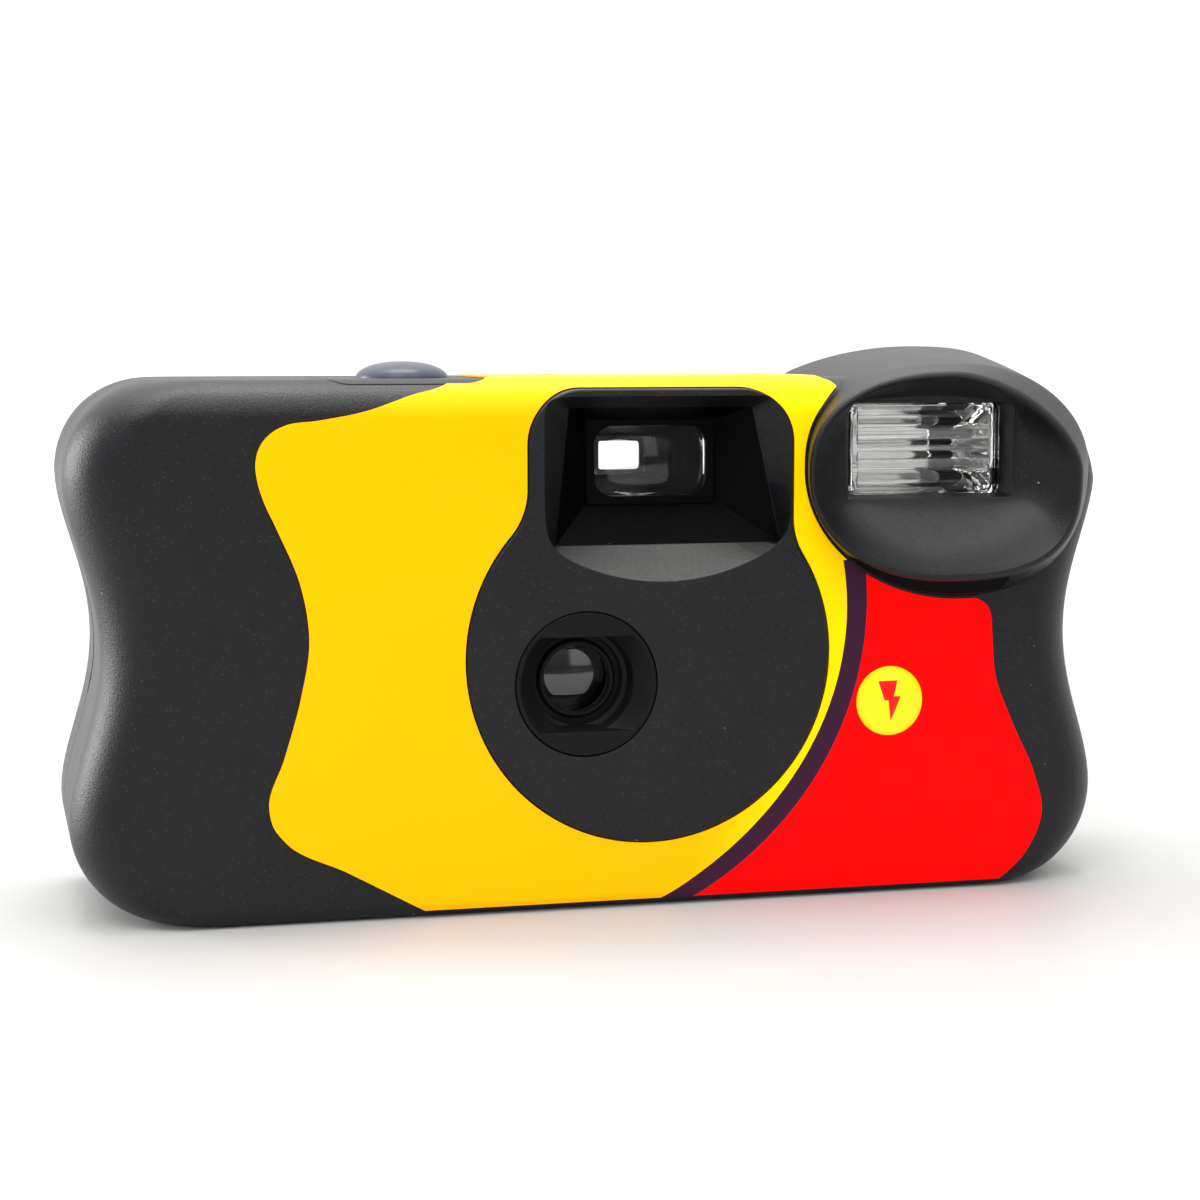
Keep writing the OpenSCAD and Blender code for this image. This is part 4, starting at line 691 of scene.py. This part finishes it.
behind_seam = block((-body_w, seam_y + seam_gap / 2, -5), (body_w, back_y + 5, body_h + 9))
combine(behind_seam, "UNION", *end_notches(notch_r - notch_gap))
back_cover = combine(solid("back_cover_shell", body_rings(0)), "UNION", housing_tail(0, seam_y, back_y - 3))
combine(back_cover, "INTERSECT", behind_seam)
back_cavity = combine(solid("cavity", body_rings(wall)), "UNION", housing_tail(wall, seam_y - 1, back_y - 5))
slot_half = math.sqrt(wheel_r ** 2 - (back_y - wall - (wheel_low[1] + wheel_r)) ** 2)
combine(back_cover, "DIFFERENCE", back_cavity,
        upright([pane(wheel_x, wheel_z, 2 * slot_half + 2, wheel_t + 1, 1)] * 2,
                (back_y - wall - 1, back_y + 1)),
        upright([pane(wheel_x, wheel_z, 22, wheel_t + 2.4, 2), pane(wheel_x, wheel_z, 26, wheel_t + 3.8, 2)],
                (back_y - 0.9, back_y + 0.1)),
        upright([pane(finder_x, finder_z, eyepiece_w, eyepiece_h, 0.8)] * 2, (back_y - wall - 1, back_y + 1)),
        upright([pane(finder_x, finder_z, eyepiece_w + 1, eyepiece_h + 1, 1.2),
                 pane(finder_x, finder_z, eyepiece_w + 4, eyepiece_h + 3, 2)], (back_y - 0.8, back_y + 0.1)))
fit(smooth(back_cover), black, "camera_body", "black_shell", "back_cover")

# Front label
# Printed film stuck over the front and the top, die-cut around the panel, the flash and the buttons.
# Yellow with a dark arc that sets off a red field under it; towards the flash the yellow is painted paler, as
# painted light.
label_t, label_lift = 0.18, 0.04
label_left = np.array([  # height and place across of points along the cut edges
    (0.9, -21.5), (5.6, -30.0), (9.2, -36.6), (11.0, -37.9), (13.0, -38.3), (18.3, -36.6), (25.0, -34.7),
    (30.8, -33.8), (36.5, -34.6), (43.0, -37.2), (45.9, -38.5), (48.0, -39.1), (49.7, -39.25), (51.0, -39.0),
    (52.1, -38.4), (53.05, -37.4), (53.7, -36.1), (54.2, -32.6), (55.1, -27.7), (56.8, -22.5), (58.0, -18.4),
    (64.0, -14.0)])
label_right = np.array([
    (0.9, 45.5), (3.8, 48.6), (8.6, 50.6), (13.0, 49.6), (19.0, 46.8), (24.6, 44.6), (29.5, 44.1),
    (31.4, 43.95), (32.6, 43.5), (33.3, 42.6), (33.7, 41.2), (33.85, 39.0), (50.0, 39.0), (52.4, 22.9),
    (53.8, 23.1), (56.0, 24.7), (57.0, 25.5), (57.6, 25.6), (58.1, 25.2), (58.4, 24.5), (64.0, 23.5)])


def smooth_edge(points, steps=24):
    """Smooth curve through points: cubic Hermite along their chain, each slope the mean of the two chords
    that meet there, the shorter one counting more."""
    chord = np.diff(points, axis=0)
    length = np.linalg.norm(chord, axis=1)[:, None]
    rise = chord / length
    mean = (rise[:-1] * length[1:] + rise[1:] * length[:-1]) / (length[:-1] + length[1:])
    slope = np.concatenate([rise[:1], mean, rise[-1:]])
    t = np.linspace(0, 1, steps, endpoint=False)[:, None, None]
    curve = ((2 * t ** 3 - 3 * t ** 2 + 1) * points[:-1] + (t ** 3 - 2 * t ** 2 + t) * length * slope[:-1]
             + (3 * t ** 2 - 2 * t ** 3) * points[1:] + (t ** 3 - t ** 2) * length * slope[1:])
    return np.concatenate([curve.transpose(1, 0, 2).reshape(-1, 2), points[-1:]])[:, ::-1]


label_outline = np.concatenate([smooth_edge(label_right), smooth_edge(label_left)[::-1]])
front_label = solid("front_label_film", body_rings(-label_lift - label_t))
combine(front_label, "DIFFERENCE", solid("core", body_rings(-label_lift)))
combine(front_label, "INTERSECT", upright([label_outline] * 2, (front_y - 2, seam_y - seam_gap)))
combine(front_label, "DIFFERENCE", upright([keyhole(0.15)] * 2, (front_y - 2, seam_y)),
        housing(-0.35, rim_y - 1, seam_y), bar_y(key_x, key_z, 4.02, front_y - 2, front_y + 2),
        bar_z(lamp_x, lamp_y, 2.3, body_h - 3, body_h + 2), counter_opening(0.3), button_panel(0.3))
arcs = (-21.42, 32.73, 47.99, 38.19), (-11.21, 33.38, 40.15, 37.47)
arc_top = 38.2

print_film = Finish("printed_label_film", Roughness=0.34, Specular_IOR_Level=0.07)
across, _, height = [print_film.add("SeparateXYZ", sockets={"Vector": print_film.place}, output=k) / mm
                     for k in (0, 1, 2)]


def beyond(arc):
    """One outside an ellipse given by its middle and its two radii, below the flash."""
    x, z, a, b = arc
    return (((across - x) / a) ** 2 + ((height - z) / b) ** 2 > 1) * (height < arc_top)


mottle = print_film.noise(0.02)
golden = print_film.mix(mottle, (0.93, 0.378, 0.0, 1), (0.96, 0.396, 0.0, 1))
# Painted light: the yellow turns paler and more lemon towards the flash, as if the strip beside the housing
# were more brightly lit.
yellow_lit_near_flash = print_film.mix(print_film.fade(across, 8, 21), golden, (0.95, 0.56, 0.0, 1))
red = print_film.mix(mottle, (0.84, 0.0, 0.0, 1), (0.89, 0.0, 0.0, 1))
field = print_film.mix(beyond(arcs[0]), yellow_lit_near_flash, (0.032, 0.009, 0.024, 1))
field = print_film.mix(beyond(arcs[1]), field, red)
print_film.paint(Base_Color=field, Normal=print_film.bump(print_film.noise(0.0006), 0.00001))
fit(smooth(front_label), print_film, "camera_body", "yellow_label", "front_label")


# Back label
# Plain printed film on the flat of the back, yellow over a red foot with a dark line between them.
back_low, back_high, (back_mid_x, _, back_mid_z) = node_box("back_label")
back_w, _, back_h = back_high - back_low
back_edge = pane(back_mid_x, back_mid_z, back_w, back_h, 3)
back_label = upright([back_edge, back_edge, pane(back_mid_x, back_mid_z, back_w - 0.1, back_h - 0.1, 2.95)],
                     (back_low[1], back_high[1] - 0.05, back_high[1]), "back_label_film")
red_top, line_top = back_low[2] + 9.0, back_low[2] + 11.2
back_film = Finish("back_label_print", Roughness=0.38, Specular_IOR_Level=0.16)
foot = back_film.add("SeparateXYZ", sockets={"Vector": back_film.place}, output=2) / mm
mottle = back_film.noise(0.02)
back_yellow = back_film.mix(mottle, (0.88, 0.35, 0.0, 1), (0.91, 0.37, 0.0, 1))
back_red = back_film.mix(mottle, (0.80, 0.0015, 0.002, 1), (0.85, 0.002, 0.002, 1))
field = back_film.mix(foot < line_top, back_yellow, (0.045, 0.008, 0.035, 1))
back_film.paint(Base_Color=back_film.mix(foot < red_top, field, back_red),
                Normal=back_film.bump(back_film.noise(0.0006), 0.00001))
fit(smooth(back_label), back_film, "camera_body", "back_film", "back_label")

# Battery door
# A black moulded flap in the bottom, on two pins at its rear edge, with a nail groove and grip ribs.
door_mid_y = (door_low[1] + hinge_y) / 2
door_w, door_d = door_high[0] - door_low[0] - 2, hinge_y - door_low[1]
door_foot, hinge_z = 0.15, door_high[2] - 0.75
door_steps = [(0.25, door_foot), (0.08, door_foot + 0.07), (0.0, door_foot + 0.25), (0.0, wall - 0.1)]
battery_door = level(
    [pane(door_mid_x, door_mid_y, door_w - 2 * i, door_d - 2 * i, 0.9) for i, _ in door_steps],
    [z for _, z in door_steps], "battery_flap")
combine(battery_door, "UNION", bar_x(hinge_y, hinge_z, 0.75, door_low[0] + 1, door_high[0] - 1, 48),
        bar_x(hinge_y, hinge_z, 0.5, door_low[0], door_high[0], 48))
combine(battery_door, "DIFFERENCE",
        *[bar_x(door_low[1] + reach, door_foot - 0.15, 0.35, door_mid_x - 8, door_mid_x + 8, 32)
          for reach in (2.2, 3.4, 4.6, 5.8)])
fit(smooth(battery_door), black, "door", "black_shell", "battery_door")


# Shutter button
# A slate grey moulded dome that stands out of the top, on a flange and a stem inside.
tip_r = 0.002  # radius of the tiny flat that closes a turned piece on its axis


def turned_z(name, x, y, profile, count=128):
    """Solid turned about an upright line: each profile point is a radius and a height."""
    return level([circle(x, y, max(r, tip_r), count) for r, _ in profile], [z for _, z in profile], name)


dome_r, dome_edge, dome_top = 5.15, body_h - 0.1, button_high[2]
flange_top, flange_r, stem_r = body_h - wall - 0.1, 5.85, 1.6
dome_a = np.linspace(0, math.pi / 2, 25)
dome = np.c_[dome_r * np.cos(dome_a) ** 0.92, dome_edge + (dome_top - dome_edge) * np.sin(dome_a)]
shutter_button = turned_z("shutter_dome", button_x, button_y, np.concatenate([
    [(0, button_low[2]), (stem_r, button_low[2]), (stem_r, flange_top - 0.7), (flange_r, flange_top - 0.7),
     (flange_r, flange_top), (dome_r, flange_top)], dome]))
slate = Finish("slate_gloss_plastic", Specular_IOR_Level=0.2, Coat_Weight=0.06, Coat_Roughness=0.12)
cloud = slate.noise(0.004)
slate.paint(Base_Color=slate.mix(cloud, (0.040, 0.045, 0.066, 1), (0.050, 0.056, 0.080, 1)),
            Roughness=0.30 + slate.noise(0.0009) * 0.10,
            Normal=slate.bump(slate.noise(0.0005), 0.000008))
fit(smooth(shutter_button), slate, "shutter_key", "grey_button", "shutter_button")


# Flash button
# A shallow yellow moulded disc in the front with a printed red bolt sign, held by a flange behind the wall.
def turned_y(name, x, z, profile, count=128):
    """Solid turned about a line from front to back: each profile point is a radius and a depth."""
    return upright([circle(x, z, max(r, tip_r), count) for r, _ in profile], [y for _, y in profile], name)


key_r, key_face, key_edge, key_crest = 3.95, key_low[1], 0.5, front_y - 0.24
key_flange_r, key_flange_front = key_r + 0.7, key_high[1] - 0.4
key_a = np.linspace(0, math.pi / 2, 15)
key_dome = np.c_[key_r - key_edge + key_edge * np.cos(key_a), key_crest + 0.12 - 0.12 * np.sin(key_a)]
key_crown_r = np.linspace(key_r - key_edge, 0, 12)
key_crown = np.c_[key_crown_r, key_face + (key_crest - key_face) * (key_crown_r / (key_r - key_edge)) ** 2]
flash_button = turned_y("flash_key", key_x, key_z, np.concatenate([
    [(0, key_high[1]), (key_flange_r, key_high[1]), (key_flange_r, key_flange_front),
     (key_r, key_flange_front)], key_dome, key_crown[1:]]))
sign = Finish("flash_key_yellow", Roughness=0.2, Specular_IOR_Level=0.3)
across, _, upward = [sign.add("SeparateXYZ", sockets={"Vector": sign.place}, output=k) / mm - middle
                     for k, middle in enumerate((key_x, 0, key_z))]


def convex(x, z, corners):
    """One inside a convex outline and nought outside: the product of a half plane along each side."""
    inside = None
    for (ax, az), (bx, bz) in zip(corners, corners[1:] + corners[:1]):
        half = (x - ax) * (az - bz) + (z - az) * (bx - ax) > 0
        inside = half if inside is None else inside * half
    return inside


upper = convex(across, upward, [(-0.75, 0.1), (0.25, 0.1), (0.85, 2.35), (-1.45, 2.3)])
lower = convex(across, upward, [(0.05, -2.3), (1.2, 0.55), (-0.35, 0.55)])
bolt = upper.math("MAXIMUM", upper, lower)
from_middle = (across ** 2 + upward ** 2) ** 0.5
face = sign.mix(sign.noise(0.003), (0.94, 0.60, 0.004, 1), (0.96, 0.65, 0.01, 1))
face = sign.mix(from_middle > 3.45, face, (0.92, 0.54, 0.0, 1))
sign.paint(Base_Color=sign.mix(bolt, face, (0.62, 0.004, 0.004, 1)),
           Normal=sign.bump(sign.noise(0.0005), 0.000005))
fit(smooth(flash_button), sign, "flash_key", "yellow_button", "flash_button")

# Winding wheel
# A black moulded wheel with rounded ridges, turned by the thumb through the back, on the spool's drive pin.
ridges, ridge_depth, wheel_foot = 48, 0.55, wheel_top - wheel_t
around = np.linspace(0, 2 * np.pi, ridges * 12, endpoint=False)
wave = np.abs(np.cos((around - math.pi / 2) * ridges / 2)) ** 0.7
ridge_r = wheel_high[1] - wheel_y - ridge_depth * (1 - wave)
wheel_steps = [(0.45, 0.0), (0.15, 0.12), (0.0, 0.45)]
wheel_steps += [(inset, wheel_t - rise) for inset, rise in wheel_steps[::-1]]
thumbwheel = level([np.c_[wheel_x + (ridge_r - i) * np.cos(around), wheel_y + (ridge_r - i) * np.sin(around)]
                    for i, _ in wheel_steps], [wheel_foot + z for _, z in wheel_steps], "winding_wheel")
tooth_tip, tooth_root, tooth_lean = 10.4, 9.4, 0.035
tooth = np.radians(np.arange(24) * 15.0)
teeth = np.stack([np.c_[r * np.cos(a), r * np.sin(a)]
                  for r, a in ((tooth_tip, tooth), (tooth_root, tooth + tooth_lean))], axis=1).reshape(-1, 2)
combine(thumbwheel, "UNION",
        level([teeth + (wheel_x, wheel_y)] * 2, (wheel_foot - 0.9, wheel_foot + 0.5), "ratchet"),
        bar_z(wheel_x, wheel_y, 4.0, wheel_foot - 1.16, wheel_foot + 0.5),
        bar_z(wheel_x, wheel_y, 2.5, wheel_low[2], wheel_foot + 0.5))
fit(smooth(thumbwheel), black, "winding", "black_wheel", "thumbwheel")

# Lens retainer
# A black turned ring set flush in the panel. Its flat-sided pocket opens to both sides along a cone and ends
# in a stepped seat around the lens.
ring_r, ring_face, ring_back = lens_high[0] - lens_x, lens_low[1], lens_high[1]
pocket_r, pocket_half, pocket_floor, bore_r = 5.75, 5.3, front_y + 5, 3.7
lens_retainer = turned_y("lens_ring", lens_x, lens_z, [
    (0, ring_face), (ring_r - 0.28, ring_face), (ring_r - 0.08, ring_face + 0.08), (ring_r, ring_face + 0.28),
    (ring_r, inside_front), (7.1, inside_front), (7.1, ring_back), (0, ring_back)])
flats = upright([rectangle(lens_x - 9, lens_z - pocket_half, lens_x + 9, lens_z + pocket_half),
                 rectangle(lens_x - 9, lens_z - pocket_half + 0.3, lens_x + 9, lens_z + pocket_half - 0.3)],
                (ring_face - 1, pocket_floor))
pocket = combine(turned_y("pocket", lens_x, lens_z, [
    (0, ring_face - 1), (7.45, ring_face - 1), (7.45, ring_face), (pocket_r, ring_face + 1.9),
    (pocket_r - 0.15, pocket_floor - 1.4), (5.1, pocket_floor - 1.2), (5.0, pocket_floor),
    (0, pocket_floor)]), "INTERSECT", flats)
combine(lens_retainer, "DIFFERENCE", pocket, bar_y(lens_x, lens_z, bore_r, ring_face, ring_back + 1))
seat = turned_y("seat", lens_x, lens_z, [
    (0, pocket_floor - 0.7), (4.15, pocket_floor - 0.7), (4.3, pocket_floor - 0.55),
    (4.5, pocket_floor + 0.1), (0, pocket_floor + 0.1)])
bore = turned_y("bore", lens_x, lens_z, [
    (0, pocket_floor - 1), (4.0, pocket_floor - 1), (bore_r, pocket_floor - 0.3), (bore_r, pocket_floor + 1),
    (0, pocket_floor + 1)])
combine(lens_retainer, "UNION", combine(seat, "DIFFERENCE", bore))
dark = Finish("black_smooth_plastic", Specular_IOR_Level=0.10)
dark_cloud = dark.noise(0.003, 3.0)
dark.paint(Base_Color=dark.mix(dark_cloud, (0.004, 0.004, 0.0048, 1), (0.007, 0.007, 0.008, 1)),
           Roughness=0.30 + dark_cloud * 0.14,
           Normal=dark.bump(dark.noise(0.0003), 0.000012,
                            dark.add("Bevel", {"samples": 4}, {"Radius": 0.00012})))
fit(smooth(lens_retainer), dark, "camera_body", "lens_ring", "lens_retainer")

# Taking lens
# Two small moulded acrylic elements in a cup behind the retainer, with a thin black stop between them.
clear = Finish("clear_acrylic", IOR=1.49, Transmission_Weight=1.0, Base_Color=(0.99, 0.99, 0.99, 1))
clear.paint(Roughness=0.002 + clear.noise(0.004) * 0.004)
(_, glass_front, _), (_, glass_back, _), _ = node_box("front_lens")
glass_r, glass_bulge = 4.4, 14.0
glass_span = np.linspace(glass_r, 0, 24)
sag = glass_bulge - np.sqrt(glass_bulge ** 2 - glass_span ** 2)
front_lens = turned_y("front_element", lens_x, lens_z, np.concatenate([
    [(0, glass_back), (glass_r, glass_back)],
    np.c_[glass_span, np.minimum(glass_front + sag, glass_back - 0.05)]]))
coated = Finish("coated_acrylic", IOR=1.49, Transmission_Weight=1.0, Base_Color=(0.12, 0.12, 0.13, 1),
                Coat_Weight=1.0, Specular_IOR_Level=0.9)
coated.paint(Roughness=0.002 + coated.noise(0.004) * 0.004)
fit(smooth(front_lens), coated, "camera_body", "clear_lens", "front_lens")

# Viewfinder lenses
# A hollow-ground front lens and a domed eyepiece, both moulded clear and pressed into the ends of the
# finder's tube.
hollow_r, centre_t = 14.7, 0.8
grid_x, grid_z = np.meshgrid(np.linspace(-1, 1, 49), np.linspace(-1, 1, 33), indexing="ij")


def lens_block(name, low, high, front, back):
    """Rectangular lens as large as a box: a front and a back depth over the same grid, joined along the
    rim."""
    half_w, _, half_h = (high - low) / 2
    px, pz = finder_x + grid_x * half_w, finder_z + grid_z * half_h
    faces_y = [np.broadcast_to(side(grid_x * half_w, grid_z * half_h), px.shape) for side in (front, back)]
    count = px.size
    points = np.concatenate([np.stack([px, y, pz], -1).reshape(-1, 3) for y in faces_y])
    index = np.arange(count).reshape(px.shape)
    cells = np.stack([index[:-1, :-1], index[1:, :-1], index[1:, 1:], index[:-1, 1:]], -1).reshape(-1, 4)
    edge = np.concatenate([index[:-1, 0], index[-1, :-1], index[:0:-1, -1], index[0, :0:-1]])
    rim = np.stack([edge, np.roll(edge, -1), np.roll(edge, -1) + count, edge + count], -1)
    return closed_mesh(name, points, np.concatenate([cells, cells[:, ::-1] + count, rim[:, ::-1]]).tolist())


def bulge(radius, x, z):
    """How far a ball of that radius falls back from its crown."""
    return radius - np.sqrt(radius ** 2 - x ** 2 - z ** 2)


finder_lens = lens_block(
    "finder_objective", finder_low, finder_high, lambda x, z: finder_front,
    lambda x, z: np.minimum(finder_front + centre_t + bulge(hollow_r, x, z), finder_high[1]))
fit(smooth(finder_lens), clear, "camera_body", "clear_lens", "finder_front_lens")

eye_low, eye_high, _ = node_box("finder_eyepiece")
eye_dome = 18.0
eyepiece = lens_block("finder_eye_lens", eye_low, eye_high, lambda x, z: eye_low[1] + bulge(eye_dome, x, z),
                      lambda x, z: eye_high[1])
fit(smooth(eyepiece), clear, "camera_body", "clear_lens", "finder_eyepiece")

# Flash window
# A clear moulded window with fine level ribs on its rear face, held by a flange behind the bowl.
rib_pitch, rib_depth, rib_inset, rib_root = 2.45, 0.45, 1.3, window_front + 0.5
window_back = window_high[1]
rib_z = np.linspace(-window_h / 2 + 0.8, window_h / 2 - 0.8, 121)
rib_y = collar_back - 0.13 + rib_depth * (0.5 - 0.5 * np.cos(2 * np.pi * rib_z / rib_pitch))
cross = np.concatenate([[(rib_root, rib_z[-1])], np.c_[rib_y, rib_z][::-1], [(rib_root, rib_z[0])]])
flash_window = upright([window_pane(-0.5, -0.5, 0.6)] + [window_pane(0, 0, 0.85)] * 2,
                       (window_front, window_front + 0.25, collar_back - 0.15), "flash_window_clear")
ribs = solid("ribs", np.stack([np.insert(cross + (0, window_z), 0, window_x + side, axis=1)
                               for side in (rib_inset - window_w / 2, window_w / 2 - rib_inset)]))
frame_ring = combine(
    upright([window_pane(0, 0, 1.0)] * 2 + [window_pane(1.8, 1.8, 1.0)] * 2,
            (window_front + 0.3, collar_back + 0.04, collar_back + 0.05, window_back)),
    "DIFFERENCE", upright([window_pane(-1.4, -1.2, 0.6)] * 2, (window_front - 1, window_back + 1)))
combine(flash_window, "UNION", ribs, frame_ring)
fit(smooth(flash_window), clear, "camera_body", "clear_lens", "flash_window")

# Flash reflector
# A bright pressed trough behind the window, around the flash tube, with an upturned end at the left and a
# loose sloping end plate at the right, past a dark gap.
bowl_low, bowl_high, _ = node_box("flash_reflector")
bowl_half, bowl_front, bowl_depth = 5.2, bowl_low[1], bowl_high[1] - bowl_low[1] - 0.4
trough_left, trough_right = bowl_low[0] + 0.1, window_x + 3.2
plate_left, plate_right = window_x + 6.0, bowl_high[0] - 0.1


def sheet(x0, x1, share):
    """Pressed sheet from x0 to x1: a parabola from foot to top, its depth scaled by a share along X."""
    u, v = np.meshgrid(np.linspace(0, 1, 33), np.linspace(-1, 1, 65), indexing="ij")
    points = np.stack([x0 + (x1 - x0) * u, bowl_front + bowl_depth * (1 - v ** 2) * share(u),
                       window_z + v * bowl_half], -1)
    index = np.arange(u.size).reshape(u.shape)
    cells = np.stack([index[:-1, :-1], index[:-1, 1:], index[1:, 1:], index[1:, :-1]], -1).reshape(-1, 4)
    return points.reshape(-1, 3), cells


trough, trough_cells = sheet(trough_left, trough_right, lambda u: np.clip(u / 0.12, 0, 1))
plate, plate_cells = sheet(plate_left, plate_right, lambda u: 1 - u)
bowl_mesh = bpy.data.meshes.new("flash_trough")
bowl_mesh.from_pydata(np.concatenate([trough, plate]) * mm, [],
                      np.concatenate([trough_cells, plate_cells + len(trough)]).tolist())
flash_reflector = bpy.data.objects.new("flash_trough", bowl_mesh)
bpy.context.collection.objects.link(flash_reflector)
thick = flash_reflector.modifiers.new("sheet", "SOLIDIFY")
thick.thickness, thick.offset = 0.25 * mm, -1
mirror = Finish("bright_reflector", Metallic=1.0)
wavy = mirror.noise(0.004, 1.0)
mirror.paint(Base_Color=mirror.mix(wavy, (0.86, 0.86, 0.85, 1), (0.94, 0.94, 0.93, 1)),
             Roughness=0.05 + wavy * 0.08, Normal=mirror.bump(wavy, 0.00003))
flash_reflector.data.shade_smooth()
fit(flash_reflector, mirror, "camera_body", "chrome_bowl", "flash_reflector")

# Flash tube
# A thin glass tube filled with gas across the trough, with a lead at each end; the real leads are dark metal,
# here they share the tube's glass finish.
tube_low, tube_high, (tube_x, tube_y, tube_z) = node_box("flash_tube")
lead_r, lead_l, tube_half = 0.5, 1.2, (tube_high[0] - tube_low[0]) / 2


def turned_x(name, y, z, profile, count=48):
    """Solid turned about a line across: each profile point is a radius and a place along X."""
    rings = [np.insert(circle(y, z, max(r, tip_r), count), 0, x, axis=1) for r, x in profile]
    return solid(name, np.stack(rings))


tube_end = [(0, 0), (lead_r, 0), (lead_r, lead_l), (1.1, lead_l + 0.1), (1.45, lead_l + 0.7),
            (1.5, lead_l + 1.4)]
flash_tube = turned_x("flash_tube_glass", tube_y, tube_z,
                      [(r, tube_x - tube_half + reach) for r, reach in tube_end]
                      + [(r, tube_x + tube_half - reach) for r, reach in tube_end[::-1]])
tube_glass = Finish("tube_glass", IOR=1.5, Transmission_Weight=0.85, Base_Color=(0.93, 0.95, 0.94, 1))
tube_glass.paint(Roughness=0.03 + tube_glass.noise(0.003) * 0.05)
fit(smooth(flash_tube), tube_glass, "camera_body", "tube_glass", "flash_tube")


# Inside pieces
# What the covers hide keeps its built shape: mouldings, springs, film, cell and board, each in a material of
# its own.
def inside(name, low, high, size, roughness, metallic=0.0, relief=0.00001, **constants):
    """Finish of a hidden piece: two near colours in clouds of one size, with a faint relief."""
    finish = Finish(name, Metallic=metallic, **constants)
    clouds = finish.noise(size, 3.0)
    finish.paint(Base_Color=finish.mix(clouds, (*low, 1), (*high, 1)), Roughness=roughness + clouds * 0.12,
                 Normal=finish.bump(clouds, relief))
    return finish


hidden = {
    inside("frame_black", (0.008, 0.008, 0.009), (0.013, 0.013, 0.014), 0.003, 0.42):
        ("main_frame", "cartridge_spool", "supply_spool"),
    # Painted shade: the finder's housing is near-black with almost no reflection, so the finder's inside
    # looks as dark as deep shade.
    inside("finder_painted_shade_black", (0.0010, 0.0010, 0.0012), (0.0018, 0.0018, 0.0020), 0.003, 0.45, relief=0.000002,
           Specular_IOR_Level=0.004):
        ("finder_housing",),
    inside("stop_black", (0.002, 0.002, 0.002), (0.004, 0.004, 0.004), 0.002, 0.6, Specular_IOR_Level=0.1):
        ("aperture_ring", "shutter_blade", "lens_holder"),
    inside("spring_steel", (0.55, 0.55, 0.56), (0.68, 0.68, 0.69), 0.001, 0.25, 1.0):
        ("blade_spring", "striker_spring", "release_spring"),
    inside("white_acetal", (0.74, 0.73, 0.69), (0.82, 0.81, 0.77), 0.004, 0.38):
        ("striker_lever", "release_lever", "sprocket", "metering_cam", "ratchet_pawl"),
    inside("counter_white", (0.80, 0.79, 0.76), (0.86, 0.85, 0.82), 0.004, 0.36): ("counter_wheel",),
    inside("cartridge_print", (0.60, 0.42, 0.02), (0.68, 0.48, 0.03), 0.012, 0.30, 0.2): ("cartridge_shell",),
    inside("cap_black", (0.012, 0.012, 0.012), (0.02, 0.02, 0.02), 0.003, 0.32, 0.6): ("cartridge_caps",),
    inside("film_base", (0.10, 0.055, 0.035), (0.14, 0.08, 0.05), 0.01, 0.22): ("film_strip", "film_roll"),
    inside("phenolic_board", (0.20, 0.11, 0.04), (0.26, 0.15, 0.06), 0.005, 0.45): ("circuit_board",),
    inside("component_bodies", (0.03, 0.03, 0.03), (0.10, 0.07, 0.04), 0.003, 0.4): ("board_components",),
    inside("can_sleeve", (0.012, 0.014, 0.02), (0.02, 0.024, 0.034), 0.006, 0.3): ("capacitor",),
    inside("copper_winding", (0.36, 0.15, 0.06), (0.46, 0.21, 0.09), 0.0006, 0.3, 0.8, 0.00005):
        ("transformer", "trigger_coil"),
    inside("lamp_amber", (0.08, 0.012, 0.003), (0.11, 0.02, 0.005), 0.002, 0.12): ("ready_lamp",),
    inside("contact_strip", (0.58, 0.56, 0.50), (0.70, 0.68, 0.62), 0.002, 0.24, 1.0):
        ("flash_switch", "sync_contact", "contact_plus", "contact_minus"),
    inside("cell_jacket", (0.02, 0.02, 0.024), (0.035, 0.035, 0.04), 0.01, 0.25, 0.3): ("battery",),
    clear: ("rear_lens", "counter_window"),
}
for finish, names in hidden.items():
    for name in names:
        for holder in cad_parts[name].material_slots:
            holder.material = finish.material
